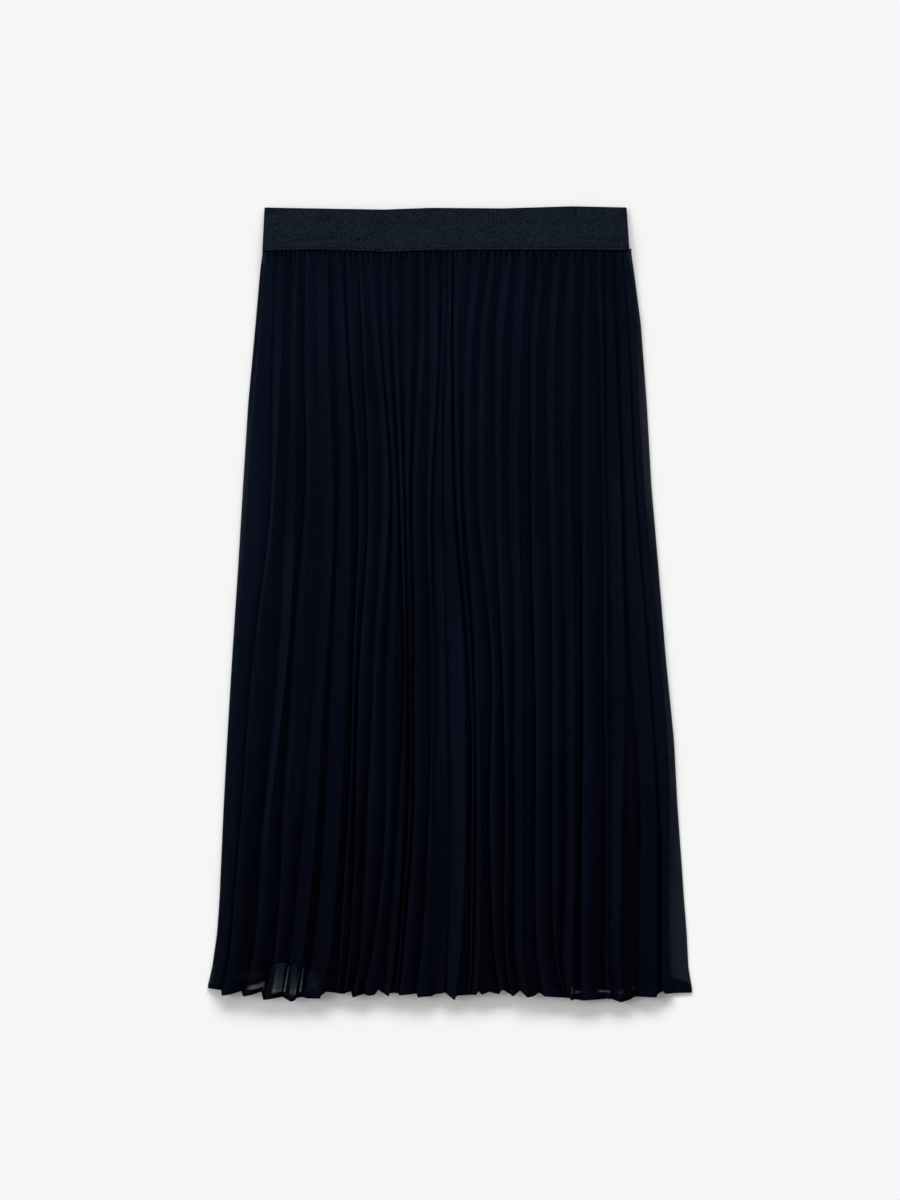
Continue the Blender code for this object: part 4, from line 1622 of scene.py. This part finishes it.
class StitchTree:
    """A Geometry Nodes tree that lays stitches along a curve."""

    def __init__(self) -> None:
        """Build the tree, with its sizes as named inputs."""
        self.tree = bpy.data.node_groups.new("stitch_row", "GeometryNodeTree")
        self.sockets = {}
        self.add_input("Path", "NodeSocketGeometry")
        for name in ("Pitch", "Stitch Length", "Thread Width"):
            self.add_input(name, "NodeSocketFloat")
        self.add_input("Seed", "NodeSocketInt")
        self.add_input("Thread", "NodeSocketMaterial")
        self.tree.interface.new_socket("Stitches", in_out="OUTPUT",
                                       socket_type="NodeSocketGeometry")
        self.wire()

    def add_input(self, name: str, kind: str) -> None:
        """Add a named input and keep its identifier."""
        socket = self.tree.interface.new_socket(name, in_out="INPUT", socket_type=kind)
        self.sockets[name] = socket.identifier

    def node(self, kind: str, **settings: object) -> bpy.types.Node:
        """Add a node.

        Args:
            kind: the node's type.
            settings: its properties.

        Returns:
            The node.
        """
        made = self.tree.nodes.new(kind)
        for name, value in settings.items():
            setattr(made, name, value)
        return made

    def wire(self) -> None:
        """Join the nodes: resample, place a stitch on each point, realize, set the thread."""
        link = self.tree.links.new
        given = self.node("NodeGroupInput").outputs
        result = self.node("NodeGroupOutput").inputs
        resample = self.node("GeometryNodeResampleCurve", mode="LENGTH")
        link(given["Path"], resample.inputs["Curve"])
        link(given["Pitch"], resample.inputs["Length"])
        ball = self.node("GeometryNodeMeshUVSphere")
        ball.inputs["Segments"].default_value = 6
        ball.inputs["Rings"].default_value = 5
        ball.inputs["Radius"].default_value = 0.5
        size = self.node("ShaderNodeCombineXYZ")
        link(given["Stitch Length"], size.inputs["X"])
        link(given["Thread Width"], size.inputs["Y"])
        link(given["Thread Width"], size.inputs["Z"])
        shape = self.node("GeometryNodeTransform")
        link(ball.outputs["Mesh"], shape.inputs["Geometry"])
        link(size.outputs["Vector"], shape.inputs["Scale"])
        tangent = self.node("GeometryNodeInputTangent")
        turn = self.node("FunctionNodeAlignRotationToVector", axis="X")
        link(tangent.outputs["Tangent"], turn.inputs["Vector"])
        jitter = self.node("FunctionNodeRandomValue", data_type="FLOAT")
        floats = [socket for socket in jitter.inputs if socket.type == "VALUE"]
        floats[0].default_value = 0.88
        floats[1].default_value = 1.08
        link(given["Seed"], jitter.inputs["Seed"])
        place = self.node("GeometryNodeInstanceOnPoints")
        link(resample.outputs["Curve"], place.inputs["Points"])
        link(shape.outputs["Geometry"], place.inputs["Instance"])
        link(turn.outputs["Rotation"], place.inputs["Rotation"])
        value = next(socket for socket in jitter.outputs if socket.type == "VALUE")
        link(value, place.inputs["Scale"])
        realize = self.node("GeometryNodeRealizeInstances")
        link(place.outputs["Instances"], realize.inputs["Geometry"])
        finish = self.node("GeometryNodeSetMaterial")
        link(realize.outputs["Geometry"], finish.inputs["Geometry"])
        link(given["Thread"], finish.inputs["Material"])
        link(finish.outputs["Geometry"], result["Stitches"])


@dataclass
class StitchRow:
    """A row of machine stitches."""

    name: str
    path: Sequence
    pitch: float = 2.1
    length: float = 1.7
    thread: float = 0.42
    seed: int = 1
    slot: str = "elastic"

    def build(self, stitches: StitchTree, material: bpy.types.Material) -> bpy.types.Object:
        """Lay the stitches along the path.

        Args:
            stitches: the tree that lays them.
            material: the thread.

        Returns:
            A plain mesh of all the stitches, which rides on the body.
        """
        curve = bpy.data.curves.new(self.name + "_path", "CURVE")
        curve.dimensions = "3D"
        spline = curve.splines.new("POLY")
        spline.points.add(len(self.path) - 1)
        for point, (x, y, z) in zip(spline.points, self.path):
            point.co = (x * MM, y * MM, z * MM, 1.0)
        guide = bpy.data.objects.new(self.name + "_path", curve)
        bpy.context.scene.collection.objects.link(guide)
        modifier = guide.modifiers.new("stitches", "NODES")
        modifier.node_group = stitches.tree
        values = {"Pitch": self.pitch * MM, "Stitch Length": self.length * MM,
                  "Thread Width": self.thread * MM, "Seed": self.seed, "Thread": material}
        for name, value in values.items():
            modifier[stitches.sockets[name]] = value
        guide.update_tag()
        bpy.context.view_layer.update()
        graph = bpy.context.evaluated_depsgraph_get()
        evaluated = guide.evaluated_get(graph)
        mesh = bpy.data.meshes.new_from_object(evaluated, depsgraph=graph)
        mesh.name = self.name
        mesh.shade_smooth()
        row = bpy.data.objects.new(self.name, mesh)
        bpy.context.scene.collection.objects.link(row)
        bpy.data.objects.remove(guide)
        if not mesh.materials:
            mesh.materials.append(material)
        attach(row, BODY)
        return row


@dataclass
class Studio:
    """The pale surface, the soft light and the camera straight above."""

    camera_height: float = 3.0
    frame_height: float = 1.2
    photo_centre: tuple = (0.0, 0.004)
    floor_half: float = 15000.0        # half the surface's width
    floor_height: float = -0.4         # just under the cloth
    ambient: float = 0.38
    key_strength: float = 4.35
    key_step: float = 13.0             # degrees between the parts of the broad key light
    key_aside: float = 0.93            # how far aside its direction leans
    key_up: float = 0.365              # and how far up
    side_strength: float = 0.9
    side_towards: tuple = (-0.8, 0.25, 0.62)

    def floor(self) -> bpy.types.Object:
        """Lay the surface.

        Returns:
            The surface.
        """
        half = self.floor_half
        corners = [(x, y, self.floor_height)
                   for x, y in ((-half, -half), (half, -half), (half, half), (-half, half))]
        surface = new_object("pale_floor", corners, [(0, 1, 2, 3)])
        surface.data.materials.append(FloorFinish().material("pale_floor"))
        return surface

    def sun(self, name: str, towards: tuple, strength: float, softness: float) -> None:
        """Add a soft distant light.

        Args:
            name: its name.
            towards: the direction that the light comes from.
            strength: its strength.
            softness: the angle that it fills, in degrees.
        """
        data = bpy.data.lights.new(name, "SUN")
        data.energy = strength
        data.angle = math.radians(softness)
        light = bpy.data.objects.new(name, data)
        light.rotation_euler = Vector(towards).to_track_quat("Z", "Y").to_euler()
        bpy.context.scene.collection.objects.link(light)

    def lights(self) -> None:
        """Add the broad key light, in five parts, and the side light."""
        for k in (-2, -1, 0, 1, 2):
            swing = math.radians(self.key_step * k)
            towards = (self.key_aside * math.sin(swing), self.key_aside * math.cos(swing),
                       self.key_up)
            self.sun(f"soft_key_{k + 3}", towards, self.key_strength / 5.0, 15.0)
        self.sun("soft_side", self.side_towards, self.side_strength, 30.0)

    def world(self) -> None:
        """Add the even white light from all round."""
        world = bpy.data.worlds.new("studio")
        world.use_nodes = True
        backdrop = world.node_tree.nodes["Background"]
        backdrop.inputs["Color"].default_value = (1.0, 1.0, 1.0, 1.0)
        backdrop.inputs["Strength"].default_value = self.ambient
        bpy.context.scene.world = world
        bpy.context.scene.view_settings.view_transform = "Standard"

    def camera(self) -> None:
        """Add the camera, which looks straight down."""
        data = bpy.data.cameras.new("camera")
        data.sensor_width = 36.0
        data.lens = data.sensor_width * self.camera_height / self.frame_height
        data.clip_start = 0.1
        camera = bpy.data.objects.new("camera", data)
        camera.location = (*self.photo_centre, self.camera_height)
        bpy.context.scene.collection.objects.link(camera)
        bpy.context.scene.camera = camera

    def build(self) -> None:
        """Build the floor, the lights, the world and the camera."""
        self.floor()
        self.lights()
        self.world()
        self.camera()


def hem_stitch_path(points: np.ndarray, above: float, lift: float, step: int) -> list:
    """Return points that follow a panel's hem at a distance above it.

    Args:
        points: the hem's outer points, in millimetres.
        above: how far above the hem the row runs.
        lift: how far out of the cloth it lies.
        step: how many mesh points lie between two points of the path.

    Returns:
        The path's points, in millimetres.
    """
    return [(x, y + above, z + lift) for x, y, z in points[4:-4:step]]


def report(piece: bpy.types.Object) -> None:
    """Log a piece's name and how many faces it has."""
    log.info("built %s: %d faces", piece.name, len(piece.data.polygons))


def main() -> None:
    """Build the skirt's pieces in order, then the studio round them."""
    chiffon = ChiffonFinish().material("navy_chiffon_sheer")
    lining = LiningFinish().material("navy_lining_cloth")
    elastic = SatinElasticFinish().material("navy_satin_elastic_face")
    thread = ThreadFinish().material("navy_thread")

    back = PleatedPanel(Side.BACK, "chiffon_back", "outer_back", 0.0, 0.0, BACK_HEM_LINE)
    back_piece = back.build(chiffon)
    report(back_piece)
    back_lining = LiningPanel("lining_cloth_back", "lining_back", 0.0)
    back_lining_piece = back_lining.build(lining)
    report(back_lining_piece)
    front_lining = LiningPanel("lining_cloth_front", "lining_front", 2.0)
    front_lining_piece = front_lining.build(lining)
    report(front_lining_piece)
    front = PleatedPanel(Side.FRONT, "chiffon_front", "outer_front", 6.6, 1.0, HEM_LINE)
    front_piece = front.build(chiffon)
    report(front_piece)
    band = Waistband()
    band_piece = band.build(elastic)
    report(band_piece)

    tree = StitchTree()
    front_row = StitchRow("band_stitches_front", band.stitch_line(Side.FRONT, 3.0), seed=3)
    back_row = StitchRow("band_stitches_back", band.stitch_line(Side.BACK, 3.0), seed=4)
    hem_path = hem_stitch_path(front.hem_points, 6.2, 0.05, 3)
    hem_row = StitchRow("hem_stitches_front", hem_path, pitch=2.6, length=1.9,
                        thread=0.22, seed=5, slot="chiffon")
    rows = [row.build(tree, thread) for row in (front_row, back_row, hem_row)]
    for row in rows:
        report(row)

    Studio().build()


if __name__ == "__main__":
    main()
